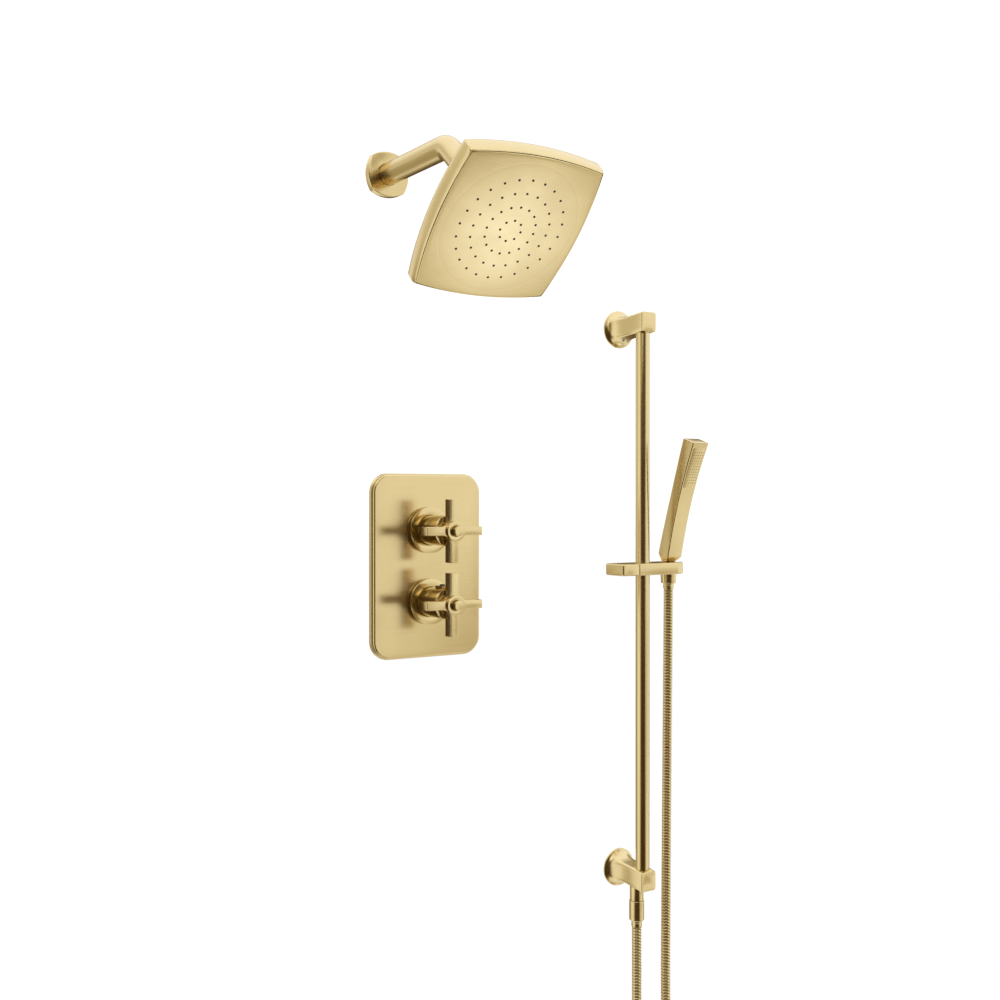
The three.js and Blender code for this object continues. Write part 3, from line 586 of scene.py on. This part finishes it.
def make_arm(materials):
    """The bent tube, as one smooth skin from the wall to the ball stud."""
    centre = middle("arm_flange")
    ball = Vector(JOINTS["head_tilt"]["pos_m"]) / MM
    corner = Vector((centre.x / MM, -ARM_REACH, centre.z / MM))
    leg = (ball - corner).normalized()
    half_turn = math.radians(ARM_LEG_ANGLE) / 2
    setback = ARM_BEND_RADIUS * math.tan(half_turn)
    start = Vector((corner.x, -0.5, corner.z))
    bend_start = corner + Vector((0, setback, 0))
    bend_end = corner + leg * setback
    end = ball - leg * 22.3
    stations = [(start, Vector((0, -1, 0)))]
    steps = 14
    for k in range(steps + 1):
        t = k / steps
        point = bend_start * (1 - t) ** 2 + corner * 2 * t * (1 - t) + bend_end * t * t
        forward = (Vector((0, -1, 0)) * (1 - t) + leg * t).normalized()
        stations.append((point, forward))
    stations.append((end - leg * 0.8, leg))
    stations.append((end, leg))
    rings = []
    for i, (point, forward) in enumerate(stations):
        side = Vector((1, 0, 0))
        other = forward.cross(side)
        radius = ARM_RADIUS - (0.8 if i == len(stations) - 1 else 0)
        rings.append([
            (point + (side * math.cos(a) + other * math.sin(a)) * radius) * MM
            for a in (2 * math.pi * k / 96 for k in range(96))])
    arm = loft("arm_tube", rings, smooth=40)
    finish_piece(arm, materials["gold_inward"], "shower_arm")
    place = out_of_wall(centre.x, centre.z)
    thread = [(0, -20)]
    for k in range(10):
        thread += [(9.2, -19.6 + 1.9 * k), (10.3, -18.7 + 1.9 * k)]
    thread += [(9.2, -0.6), (0, -0.6)]
    screw = turned("arm_thread", thread, place, radius=0.2, sides=64)
    finish_piece(screw, materials["raw_brass"], "shower_arm", replace=False, slot="raw_brass")


def make_collar_nut(materials):
    profile = [
        (14, -19), (19.5, -19), (20.6, -16), (20.6, -7), (17.6, 8), (12, 9.6), (10.8, 9),
        (13, 5.2), (14, 0)]
    nut = turned("ball_nut", profile, at_ball(HEAD_TILT), radius=1.0, closed=True)
    finish_piece(nut, materials["gold_level"], "ball_collar_nut")


def make_head_shell(materials):
    place = at_ball(HEAD_TILT)
    face = -HEAD_FACE_DROP
    rim = face + HEAD_RIM_DEPTH
    outline = cushion(HEAD_CHORD, HEAD_BULGE, per_side=28, corner=0.9)
    stations = (
        (face + 4, 0.9755), (face + 1.5, 0.9755), (face + 1.0, 0.977), (face + 1.0, 0.980),
        (face + 1.6, 0.9845), (face + 2.6, 0.989), (face + 3.8, 0.9925), (face + 5.4, 0.996),
        (face + 7.4, 0.999), (face + 10, 1.0), (rim - 6, 1.0),
        (rim - 3.5, 0.996), (rim - 1.5, 0.988), (rim + 0.2, 0.975), (rim + 1.8, 0.957),
        (rim + 4, 0.925), (rim + 6.4, 0.87), (rim + 8.4, 0.77), (rim + 10.2, 0.64),
        (rim + 11.8, 0.5), (rim + 12.7, 0.38), (rim + 13.2, 0.25), (rim + 13.4, 0.12))
    rings = [[place @ p for p in at_height(outline, h, s)] for h, s in stations]
    shell = loft("head_shell", rings, smooth=34)
    finish_piece(shell, materials["gold_across"], "head_back_shell")


def make_head_face(materials):
    """The front plate, lowest at its middle, with a faint ring and four rings of nozzles."""
    place = at_ball(HEAD_TILT)
    face = -HEAD_FACE_DROP
    count = 112
    outline = cushion(
        HEAD_CHORD * FACE_SHARE, HEAD_BULGE * FACE_SHARE, per_side=count // 4, corner=0.9)

    def circle(radius, height):
        row = []
        for x, y in outline:
            angle = math.atan2(y, x)
            row.append(Vector((radius * math.cos(angle), radius * math.sin(angle), height)) * MM)
        return row

    def crown(radius):
        return face + 0.45 - FACE_CROWN * (1 - (radius / FACE_CROWN_REACH) ** 2)

    edge = [crown(math.hypot(x, y)) for x, y in outline]
    rows = [at_height(outline, face + 3)]
    for lift, scale in ((0.8, 1.0), (0.35, 0.9985), (0.05, 0.995), (0.0, FACE_EDGE_SHARE)):
        rows.append([
            Vector((x * scale, y * scale, z + lift)) * MM for (x, y), z in zip(outline, edge)])
    for share in (0.2, 0.4, 0.6, 0.8):
        row = []
        for (x, y), inner in zip(outline, circle(FACE_RING_RADIUS, 0)):
            place_x = x * FACE_EDGE_SHARE * (1 - share) + inner.x / MM * share
            place_y = y * FACE_EDGE_SHARE * (1 - share) + inner.y / MM * share
            height = crown(math.hypot(place_x, place_y))
            row.append(Vector((place_x, place_y, height)) * MM)
        rows.append(row)
    for inwards, groove in ((0, 0), (0.4, 0.003), (0.7, 0.009), (1, 0.003), (1.4, 0)):
        radius = FACE_RING_RADIUS - inwards
        rows.append(circle(radius, crown(radius) + groove))
    inner_radius = radius
    for k in range(1, FACE_ROWS + 1):
        radius = inner_radius * (1 - k / (FACE_ROWS + 1))
        rows.append(circle(radius, crown(radius)))
    rings = [[place @ p for p in row] for row in rows]
    plate = loft("head_face", rings, smooth=40)
    finish_piece(plate, materials["gold_face"], "head_face_plate")

    points = []
    faces = []
    sides = 12
    profile = ((1.5, 0.2), (1.4, -0.2), (1.0, -0.35), (0.85, -0.6), (0.55, -0.65), (0.4, -0.1))
    for radius, number in NOZZLE_RINGS:
        for i in range(number):
            turn = i / number * 2 * math.pi
            base = crown(radius)
            middle_point = Vector((radius * math.cos(turn), radius * math.sin(turn), base))
            first = len(points)
            for r, h in profile:
                for k in range(sides):
                    a = 2 * math.pi * k / sides
                    offset = Vector((r * math.cos(a), r * math.sin(a), h))
                    points.append(place @ ((middle_point + offset) * MM))
            for row in range(len(profile) - 1):
                for k in range(sides):
                    beside = (k + 1) % sides
                    here = first + row * sides
                    faces.append((here + k, here + beside, here + sides + beside, here + sides + k))
            last = first + (len(profile) - 1) * sides
            faces.append(tuple(range(last, last + sides)))
            faces.append(tuple(reversed(range(first, first + sides))))
    nozzles = new_mesh("head_nozzles", points, faces, smooth=40)
    finish_piece(nozzles, materials["nozzle_silicone"], "head_nozzle_sheet", replace=False)


# ---------- valve ----------

PLATE_WIDTH = 156
PLATE_HEIGHT = 232
PLATE_CORNER = 24
HANDLE_Z = 0.0451
CROSS_SPAN = 77.8
BAR_WIDTH = 10.6
BAR_BACK = 62.2
BAR_FRONT = 77
HUB_RADIUS = 12.2
HUB_BACK = 60.3
HUB_FRONT = 80.7
CAP_RADIUS = 6.1
CAP_FRONT = 87.4
SLEEVE_RADIUS = 29
SLEEVE_BACK = 10.3
SLEEVE_FRONT = 17
SKIRT_RADIUS = 18.8
SKIRT_BACK = 14
SKIRT_FRONT = 60


def make_trim_plate(materials):
    place = out_of_wall(0, 0)
    stations = (
        (0, 0.6), (0.3, 0), (4.9, 0), (5.6, 0.2), (6.0, 0.7), (6.0, 1.4), (6.2, 1.8),
        (8.4, 1.9), (9.0, 2.1), (9.5, 2.5), (9.8, 3.0), (9.95, 3.6), (10, 4.3))
    rings = []
    for height, inset in stations:
        outline = rounded_rectangle(
            PLATE_WIDTH - 2 * inset, PLATE_HEIGHT - 2 * inset, PLATE_CORNER - inset, steps=16)
        rings.append([place @ p for p in at_height(outline, height)])
    plate = loft("trim_plate_face", rings, smooth=30)
    for z in (-HANDLE_Z, HANDLE_Z):
        tool_place = out_of_wall(0, z)
        tool = turned("hole", [(0, -5), (17, -5), (17, 20), (0, 20)], tool_place, radius=0)
        plate = cut_out(plate, tool)
    finish_piece(shade(plate, 30), materials["gold_plate"], "trim_plate")


def cross_outline():
    """The four arms seen from the front, each a little wider where it meets the hub."""
    half = BAR_WIDTH / 2
    arm = [(HUB_RADIUS * 0.62, -8.2), (HUB_RADIUS + 0.8, -half - 0.9), (HUB_RADIUS + 4, -half),
           (CROSS_SPAN / 2, -half), (CROSS_SPAN / 2, half), (HUB_RADIUS + 4, half),
           (HUB_RADIUS + 0.8, half + 0.9)]
    points = []
    for turn in range(4):
        angle = math.radians(90 * turn)
        c, s = math.cos(angle), math.sin(angle)
        points += [(x * c - y * s, x * s + y * c) for x, y in arm]
    return points


def make_handle(name, side, materials):
    place = out_of_wall(0, side * HANDLE_Z)
    sleeve = turned(f"{name}_sleeve_ring", [
        (26.5, SLEEVE_BACK), (SLEEVE_RADIUS, SLEEVE_BACK), (SLEEVE_RADIUS, SLEEVE_FRONT),
        (SKIRT_RADIUS + 0.25, SLEEVE_FRONT),
        (SKIRT_RADIUS + 0.25, SLEEVE_FRONT - 2.5), (26.5, SLEEVE_FRONT - 2.5)],
        place, radius=0.5, closed=True, sides=160)
    finish_piece(sleeve, materials["gold_turned"], f"{name}_sleeve")

    skirt = turned(f"{name}_skirt_ring", [
        (16.5, SKIRT_BACK), (SKIRT_RADIUS, SKIRT_BACK), (SKIRT_RADIUS, SKIRT_FRONT),
        (4, SKIRT_FRONT), (4, SKIRT_FRONT - 3.5), (16.5, SKIRT_FRONT - 3.5)],
        place, radius=0.7, closed=True, sides=128)
    if name == "temperature":
        rings = []
        for height, inset in ((17.5, 0), (21.4, 0), (21.85, 0.15), (22, 0.5)):
            outline = rounded_rectangle(9.6 - 2 * inset, 19 - 2 * inset, 0.9 - inset * 0.5, steps=4)
            rings.append([place @ (Vector((x, height, 45.5 + y)) * MM) for x, y in outline])
        boss = loft("temperature_button_boss", rings, smooth=32)
        for made in (skirt, boss):
            tool = box_tool(Vector((-3.05, 12, 42.95)), Vector((3.05, 30, 49.05)), place)
            shade(cut_out(made, tool), 32)
        finish_piece(boss, materials["gold_inward"], "temperature_skirt", replace=False)
    finish_piece(skirt, materials["gold_turned"], f"{name}_skirt")

    outline = cross_outline()
    rings = [[place @ p for p in at_height(outline, h)] for h in (BAR_BACK, BAR_FRONT)]
    cross = loft(f"{name}_cross_bars", rings, bevel=0.7 * MM, segments=3, smooth=36)
    finish_piece(cross, materials["gold_across"], f"{name}_cross")
    hub = turned(f"{name}_hub", [
        (5, HUB_BACK), (HUB_RADIUS, HUB_BACK), (HUB_RADIUS, HUB_FRONT), (CAP_RADIUS + 0.5, HUB_FRONT),
        (CAP_RADIUS + 0.5, HUB_FRONT - 2.2), (5, HUB_FRONT - 2.2)],
        place, radius=0.7, closed=True)
    finish_piece(hub, materials["gold_turned"], f"{name}_cross", replace=False)

    cap = turned(f"{name}_cap_disc", [
        (0, HUB_FRONT - 1.9), (CAP_RADIUS, HUB_FRONT - 1.9), (CAP_RADIUS, CAP_FRONT - 0.2),
        (CAP_RADIUS * 0.6, CAP_FRONT - 0.05), (0, CAP_FRONT)], place, radius=0.8, sides=64)
    finish_piece(cap, materials["gold_turned"], f"{name}_cap")


def box_tool(low, high, place):
    points = [(x, y, z) for x in (low.x, high.x) for y in (low.y, high.y) for z in (low.z, high.z)]
    faces = [(0, 1, 3, 2), (4, 6, 7, 5), (0, 4, 5, 1), (2, 3, 7, 6), (0, 2, 6, 4), (1, 5, 7, 3)]
    return new_mesh("tool", [place @ (Vector(p) * MM) for p in points], faces)


def make_button(materials):
    place = out_of_wall(0, -HANDLE_Z)
    outline = rounded_rectangle(5.5, 5.5, 0.9, steps=4)
    stations = ((15.2, 1.0), (22.6, 1.0), (23.4, 0.94), (23.8, 0.8))
    rings = []
    for out, scale in stations:
        rings.append([place @ (Vector((x * scale, out, 46 + y * scale)) * MM) for x, y in outline])
    button = loft("safety_button_cap", rings, smooth=40)
    finish_piece(button, materials["dark_plastic"], "safety_button")


# ---------- rail ----------

BLOCK_HALF = 13.4
BLOCK_SQUEEZE = 0.7
BRACKET_FRONT = 67
BRACKET_RISE = 3.6


def make_bracket(name, materials, rise):
    """The casting from its round flange to the square block round the rail, which sits rise higher."""
    node = f"{name}_bracket"
    centre = middle(node)
    place = out_of_wall(centre.x, centre.z)
    stations = [
        (0, 25.7, 2), (0.3, 26, 2), (1.7, 26, 2), (2.15, 25.8, 2), (2.5, 25.2, 2), (3.2, 24.1, 2),
        (4, 22.9, 2.03), (5, 21.6, 2.1), (6.8, 19.8, 2.3), (9, 18.2, 2.6), (12, 16.7, 3.2),
        (15, 15.6, 4), (19, 14.7, 5.2), (24, 13.9, 6.6), (30, BLOCK_HALF, 8), (40, BLOCK_HALF, 9),
        (BRACKET_FRONT - 0.9, BLOCK_HALF, 9), (BRACKET_FRONT - 0.25, BLOCK_HALF - 0.25, 9),
        (BRACKET_FRONT, BLOCK_HALF - 0.9, 9)]
    rings = []
    for height, half, power in stations:
        if height < 30:
            share = 0.05 * max(0.0, height - 15) / 15
        else:
            share = 0.05 + 0.95 * (height - 30) / (BRACKET_FRONT - 30)
        outline = superellipse(half - share * BLOCK_SQUEEZE, half, power, 128)
        rings.append([place @ (Vector((x, y + share * rise, height)) * MM) for x, y in outline])
    casting = loft(f"{name}_casting", rings, smooth=36)
    finish_piece(casting, materials["gold_level"], node)


def make_rail(materials):
    centre = middle("rail")
    low, high = lowest("rail").z / MM, highest("rail").z / MM
    rail = turned("rail_tube", [(8, low), (9.5, low), (9.5, high), (8, high)],
                  standing(centre.x, centre.y), radius=0.3, closed=True, sides=128)
    finish_piece(rail, materials["gold_upright"], "rail")


def make_outlet(materials):
    centre = middle("outlet_collar")
    place = standing(centre.x, centre.y)
    collar_top, collar_bottom = -449.4, -468.4
    collar = turned("outlet_collar_ring", [
        (5, collar_bottom - 10), (8.6, collar_bottom - 10), (8.6, collar_bottom),
        (9.4, collar_bottom), (9.4, collar_top), (6.8, collar_top), (6.8, collar_top + 6),
        (5, collar_top + 6)], place, radius=0.4, closed=True)
    finish_piece(collar, materials["gold_level"], "outlet_collar")
    nut_bottom = lowest("hose_outlet_nut").z / MM
    nut = turned("outlet_nut_ring", [
        (8.9, collar_bottom - 0.3), (9.9, collar_bottom - 0.3), (10.35, collar_bottom - 1.4),
        (10.35, nut_bottom + 1.2), (9.7, nut_bottom), (6.6, nut_bottom), (6.6, -484), (8.9, -484)],
        place, radius=0.5, closed=True)
    finish_piece(nut, materials["gold_level"], "hose_outlet_nut")
    ferrule_bottom = lowest("hose_outlet_ferrule").z / MM
    ferrule = make_ferrule("outlet_ferrule", nut_bottom, ferrule_bottom, place)
    finish_piece(ferrule, materials["gold_level"], "hose_outlet_ferrule")
    return nut, ferrule


def make_ferrule(name, top, bottom, place):
    """The crimped sleeve that holds the end of the hose."""
    span = top - bottom
    return turned(name, [
        (5, top + 6), (6.3, top + 6), (6.3, top - 0.3), (7.3, top - 0.3), (7.3, top - 0.22 * span),
        (6.95, top - 0.28 * span), (6.95, top - 0.36 * span), (7.3, top - 0.42 * span),
        (7.3, bottom + 0.2 * span), (6.9, bottom), (5, bottom)],
        place, radius=0.25, closed=True)


# ---------- slider and handset ----------

HALF_DEPTH = 19.5
HOSE_SLOT_HALF = 7.25


def make_slider(materials):
    low, high = lowest("slider_body").z / MM, highest("slider_body").z / MM
    left = lowest("slider_body").x / MM
    rail = middle("rail") / MM
    holder = middle("hose_cone_nut") / MM
    outline = [(left, rail.y - HALF_DEPTH)]
    for k in range(41):
        angle = math.radians(-90 + 180 * k / 40)
        x = holder.x + HALF_DEPTH * math.cos(angle)
        outline.append((x, rail.y + HALF_DEPTH * math.sin(angle)))
    outline.append((left, rail.y + HALF_DEPTH))
    rings = [at_height(outline, low), at_height(outline, high)]
    slab = loft("slider_slab", rings, bevel=1.3 * MM, segments=4, smooth=30)
    rail_place = standing(rail.x * MM, rail.y * MM)
    holder_place = standing(holder.x * MM, holder.y * MM)
    for profile, place in (
        ([(0, low - 4), (12.3, low - 4), (12.3, high + 4), (0, high + 4)], rail_place),
        ([(0, low - 2), (11.1, low - 2), (12.3, high + 2), (0, high + 2)], holder_place),
    ):
        slab = cut_out(slab, turned("tool", profile, place, radius=0))
    slot = box_tool(
        Vector((holder.x, rail.y - HOSE_SLOT_HALF, low - 3)),
        Vector((holder.x + 30, rail.y + HOSE_SLOT_HALF, high + 3)), Matrix.Identity(4))
    slab = cut_out(slab, slot)
    finish_piece(shade(slab, 30), materials["gold_across"], "slider_body")

    lever_low, lever_high = lowest("clamp_lever") / MM, highest("clamp_lever") / MM
    rings = []
    span = lever_high.x - lever_low.x
    stations = ((0, 2.4), (0.15, 1.55), (0.6, 0.8), (1.3, 0.25), (2.4, 0), (span - 0.6, 0),
                (span - 0.15, 0.15), (span, 0.5))
    for along_x, inset in stations:
        outline = rounded_rectangle(2 * HALF_DEPTH - 2 * inset, high - low - 2 * inset, 2.2, steps=6)
        x = lever_low.x + along_x
        centre_z = (low + high) / 2
        rings.append([Vector((x, rail.y + u, centre_z + v)) * MM for u, v in outline])
    lever = loft("clamp_paddle", rings, smooth=34)
    finish_piece(lever, materials["gold_inward"], "clamp_lever")


WAND_BASE = (356.6, -57.6, 6.5)
WAND_LENGTH = 164.3
LEAN_BASE = 14.5
LEAN_TOP = 23.5
TOP_FACE_LEAN = 18
WAND_SECTIONS = ((0, 25, 21), (35, 25, 19), (80, 25.2, 18), (120, 26, 18.8), (WAND_LENGTH, 28, 21.5))
SPRAY_PLATE_RISE = 0.07


def wand_lean(distance):
    return math.radians(LEAN_BASE + (LEAN_TOP - LEAN_BASE) * distance / WAND_LENGTH)


def wand_place(distance, face_share=0.0):
    """Where the wand's middle line is, with Y across its depth and Z along it.

    face_share turns that frame towards the lean of the top face."""
    point = Vector(WAND_BASE)
    steps = 24
    for i in range(steps):
        lean = wand_lean((i + 0.5) / steps * distance)
        point += Vector((0, -math.sin(lean), math.cos(lean))) * (distance / steps)
    lean = wand_lean(distance)
    lean += (math.radians(TOP_FACE_LEAN) - lean) * face_share
    c, s = math.cos(lean), math.sin(lean)
    point *= MM
    return Matrix(((1, 0, 0, point.x), (0, c, -s, point.y), (0, s, c, point.z), (0, 0, 0, 1)))


def body_place(distance):
    """wand_place, turned to the top face's lean over the last fifth of the length."""
    return wand_place(distance, max(0.0, distance / WAND_LENGTH * 5 - 4))


def wand_size(distance):
    """Width and depth there, smoothly between the sections."""
    for (a, wa, da), (b, wb, db) in zip(WAND_SECTIONS, WAND_SECTIONS[1:]):
        if distance <= b:
            t = max(0.0, (distance - a) / (b - a))
            return wa + (wb - wa) * t, da + (db - da) * t
    return WAND_SECTIONS[-1][1:]


def make_handset(materials):
    foot_z = lowest("handset_body").z / MM
    holder = middle("hose_cone_nut") / MM
    foot = []
    for x, y in rounded_rectangle(15.2, 15.2, 4.5, steps=8):
        foot.append(Vector((holder.x + x, holder.y + y, foot_z)) * MM)
    rings = [foot]
    steps = 33
    for k in range(steps + 1):
        distance = WAND_LENGTH * k / steps
        width, depth = wand_size(distance)
        outline = rounded_rectangle(width, depth, 1.5, steps=8)
        place = body_place(distance)
        rings.append([place @ p for p in at_height(outline, 0)])
    body = loft("handset_wand", rings, smooth=26)
    finish_piece(body, materials["gold_upright"], "handset_body")

    cap_rings = []
    width, depth = WAND_SECTIONS[-1][1:]
    top = wand_place(WAND_LENGTH, 1.0)
    for rise, inset, radius in ((0.3, 0.05, 1.5), (0.6, 0.25, 1.6), (0.9, 0.8, 2), (1.15, 2.2, 2.6),
                                (1.4, 4.6, 3.2), (1.55, 7.4, 3), (1.6, 9.2, 1.2)):
        outline = rounded_rectangle(width - 2 * inset, depth - 2 * inset, radius, steps=8)
        cap_rings.append([top @ p for p in at_height(outline, rise)])
    cap = loft("handset_top", cap_rings, smooth=40)
    finish_piece(cap, materials["gold_plate"], "handset_end_cap")

    start, end = WAND_LENGTH - 63.7, WAND_LENGTH - 6.3
    rows = []
    for k in range(15):
        distance = start + (end - start) * k / 14
        front = -wand_size(distance)[1] / 2
        place = body_place(distance)
        half = 10.2 - (0.4 if k in (0, 14) else 0)
        section = [(-half, front + 0.5), (-half, front), (-half + 0.15, front - SPRAY_PLATE_RISE),
                   (half - 0.15, front - SPRAY_PLATE_RISE), (half, front), (half, front + 0.5)]
        rows.append([place @ (Vector((x, y, 0)) * MM) for x, y in section])
    spray = loft("handset_spray_plate", rows, smooth=30)
    finish_piece(spray, materials["gold_upright"], "handset_spray_face")

    points = []
    faces = []
    sides = 8
    for row in range(12):
        distance = WAND_LENGTH - 13 - 4.0 * row
        place = body_place(distance)
        front = -wand_size(distance)[1] / 2 - SPRAY_PLATE_RISE
        for column in range(6):
            x = (column - 2.5) * 3.6
            first = len(points)
            for r, out in ((0.62, -0.2), (0.55, 0.12), (0.38, 0.22), (0.22, 0.05)):
                for k in range(sides):
                    a = 2 * math.pi * k / sides
                    local = Vector((x + r * math.cos(a), front - out, r * math.sin(a))) * MM
                    points.append(place @ local)
            for level in range(3):
                here = first + level * sides
                for k in range(sides):
                    beside = (k + 1) % sides
                    faces.append((here + k, here + beside, here + sides + beside, here + sides + k))
            faces.append(tuple(range(first + 3 * sides, first + 4 * sides)))
            faces.append(tuple(reversed(range(first, first + sides))))
    nozzles = new_mesh("handset_nozzles", points, faces, smooth=40)
    finish_piece(nozzles, materials["nozzle_silicone"], "handset_spray_face", replace=False,
                 slot="nozzle_silicone")


def make_cone_nut(materials):
    centre = middle("hose_cone_nut")
    place = standing(centre.x, centre.y)
    bottom, top = lowest("hose_cone_nut").z / MM, highest("hose_cone_nut").z / MM
    nut = turned("cone_nut_ring", [
        (6.6, bottom), (9.6, bottom), (10.2, bottom + 0.8), (11.8, top), (8.9, top),
        (8.9, -20.6), (6.6, -20.6)], place, radius=0.5, closed=True)
    finish_piece(nut, materials["gold_level"], "hose_cone_nut")
    ferrule = make_ferrule(
        "top_ferrule", bottom, lowest("hose_top_ferrule").z / MM, place)
    finish_piece(ferrule, materials["gold_level"], "hose_top_ferrule")
    return nut, ferrule


# ---------- CAD nodes that stay ----------

def dress_cad_nodes(materials):
    """Every CAD node that no piece replaces gets the finished material of its slot."""
    for name, made in frame["nodes"].items():
        if made.hide_render:
            continue
        slot = SLOTS[name]
        material = materials.get(slot, materials["gold_level"])
        made.data.materials.clear()
        made.data.materials.append(material)


# ---------- light and floor ----------

SKY_LIGHT = 1.07
DARKEST = 0.06
FLAG_AZIMUTH = 31.5
# Each round patch: the way to it, where it starts and is full as cosines, and how much it adds.
SKY_PATCHES = (
    ((0.6, -0.77, -0.22), 0.975, 0.998, -0.55),
    ((0.52, 0.85, 0), 0.70, 0.95, -0.95),
    ((-0.37, 0.85, -0.37), 0.88, 0.98, -0.6),
    ((-0.66, 0.72, 0.2), 0.90, 0.99, -0.35),
    ((0.531, -0.19, -0.826), 0.80, 0.975, -0.34),
    ((0.531, -0.19, -0.826), 0.982, 0.9998, 0.80),
    ((0.3, 0.1, 0.95), 0.3, 0.9, 0.15),
)
# The dark parts of the sky are brownish: each channel is the light to this power.
DARK_WARMTH = (("Red", 1.0), ("Green", 1.18), ("Blue", 1.7))


def studio_world():
    """A bright studio: plain white, but reflections also see a dark upright flag and patches."""
    world = bpy.data.worlds.new("studio")
    world.use_nodes = True
    bpy.context.scene.world = world
    tree = world.node_tree
    tree.nodes.clear()

    def add(kind, **settings):
        node = tree.nodes.new(kind)
        for key, value in settings.items():
            setattr(node, key, value)
        return node

    direction = add("ShaderNodeTexCoord").outputs["Generated"]

    def towards(vector):
        node = add("ShaderNodeVectorMath", operation="DOT_PRODUCT")
        node.inputs[1].default_value = vector
        tree.links.new(direction, node.inputs[0])
        return node.outputs["Value"]

    def ramp(value, start, end, low, high):
        node = add("ShaderNodeMapRange", interpolation_type="SMOOTHSTEP")
        for name, number in (("From Min", start), ("From Max", end), ("To Min", low), ("To Max", high)):
            node.inputs[name].default_value = number
        tree.links.new(value, node.inputs["Value"])
        return node.outputs["Result"]

    def combine(operation, first, second):
        node = add("ShaderNodeMath", operation=operation)
        for socket, value in zip(node.inputs, (first, second)):
            if isinstance(value, (int, float)):
                socket.default_value = value
            else:
                tree.links.new(value, socket)
        return node.outputs["Value"]

    def patch(vector, start, end, change):
        """A round patch of the sky, brighter or darker by change at its middle."""
        return ramp(towards(Vector(vector).normalized()), start, end, 0, change)

    camera_way = math.radians(FLAG_AZIMUTH)
    ahead = Vector((-math.sin(camera_way), -math.cos(camera_way), 0))
    sideways = Vector((math.cos(camera_way), -math.sin(camera_way), 0))
    offset = combine("ABSOLUTE", towards(sideways), 0)
    in_band = ramp(offset, 0.50, 0.84, 1, 0)
    in_front = ramp(towards(ahead), 0.0, 0.3, 0, -1.02)
    height = towards((0, 0, 1))
    not_low = ramp(height, -0.94, -0.72, 0, 1)
    not_high = ramp(height, 0.45, 0.75, 1, 0)
    at_level = combine("MULTIPLY", not_low, not_high)
    flag = combine("MULTIPLY", combine("MULTIPLY", in_band, in_front), at_level)
    light = combine("ADD", SKY_LIGHT, flag)
    for way, start, end, change in SKY_PATCHES:
        light = combine("ADD", light, patch(way, start, end, change))
    light = combine("MAXIMUM", light, DARKEST)

    path = add("ShaderNodeLightPath")
    reflections = add("ShaderNodeBackground")
    warmth = add("ShaderNodeCombineColor")
    for channel, power in DARK_WARMTH:
        tree.links.new(combine("POWER", light, power), warmth.inputs[channel])
    tree.links.new(warmth.outputs["Color"], reflections.inputs["Color"])
    plain = add("ShaderNodeBackground")
    plain.inputs["Color"].default_value = (1, 1, 1, 1)
    plain.inputs["Strength"].default_value = 1.12
    pick = add("ShaderNodeMixShader")
    tree.links.new(path.outputs["Is Glossy Ray"], pick.inputs["Fac"])
    tree.links.new(plain.outputs["Background"], pick.inputs[1])
    tree.links.new(reflections.outputs["Background"], pick.inputs[2])
    output = add("ShaderNodeOutputWorld")
    tree.links.new(pick.outputs["Shader"], output.inputs["Surface"])


def area_light(name, place, target, size, power):
    data = bpy.data.lights.new(name, "AREA")
    data.size = size
    data.energy = power
    lamp = bpy.data.objects.new(name, data)
    lamp.location = place
    lamp.rotation_euler = (Vector(target) - Vector(place)).to_track_quat("-Z", "Y").to_euler()
    lamp.visible_camera = False
    bpy.context.collection.objects.link(lamp)


def make_stage():
    floor_z = CAD_BOX[0].z - 0.01
    size = 30
    corners = [(x * size, y * size, floor_z) for x, y in ((-1, -1), (1, -1), (1, 1), (-1, 1))]
    floor = new_mesh("floor", corners, [(0, 1, 2, 3)])
    nodes = Nodes("floor")
    tone = nodes.colours(nodes.noise((1, 1, 1), 1.5), (0.3, (0.9, 0.9, 0.9)), (0.7, (0.93, 0.93, 0.93)))
    nodes.join(tone, nodes.shader.inputs["Base Color"])
    nodes.shader.inputs["Roughness"].default_value = 0.9
    nodes.shader.inputs["Specular IOR Level"].default_value = 0.0
    floor.data.materials.append(nodes.material)
    floor.visible_glossy = False
    area_light("key", (-1.2, -1.8, 1.6), (0.1, 0, 0), 1.2, 4)
    bpy.context.scene.view_settings.view_transform = "Standard"


# ---------- the whole object ----------

make_camera()
MATERIALS = make_materials()
HOSE = make_hose(MATERIALS["gold_hose"])
OUTLET_PIECES = make_outlet(MATERIALS)
HANDSET_PIECES = make_cone_nut(MATERIALS)
declare_hose(*HOSE[0], list(OUTLET_PIECES), "hanging")
declare_hose(*HOSE[1], [], "hanging")
declare_hose(*HOSE[2], [], "hanging")
declare_hose(*HOSE[3], list(HANDSET_PIECES), "hanging")
make_arm_flange(MATERIALS)
make_arm(MATERIALS)
make_collar_nut(MATERIALS)
make_head_shell(MATERIALS)
make_head_face(MATERIALS)
make_trim_plate(MATERIALS)
make_handle("volume", 1, MATERIALS)
make_handle("temperature", -1, MATERIALS)
make_button(MATERIALS)
make_bracket("upper", MATERIALS, BRACKET_RISE)
make_bracket("lower", MATERIALS, -BRACKET_RISE)
make_rail(MATERIALS)
make_slider(MATERIALS)
make_handset(MATERIALS)
dress_cad_nodes(MATERIALS)
studio_world()
make_stage()
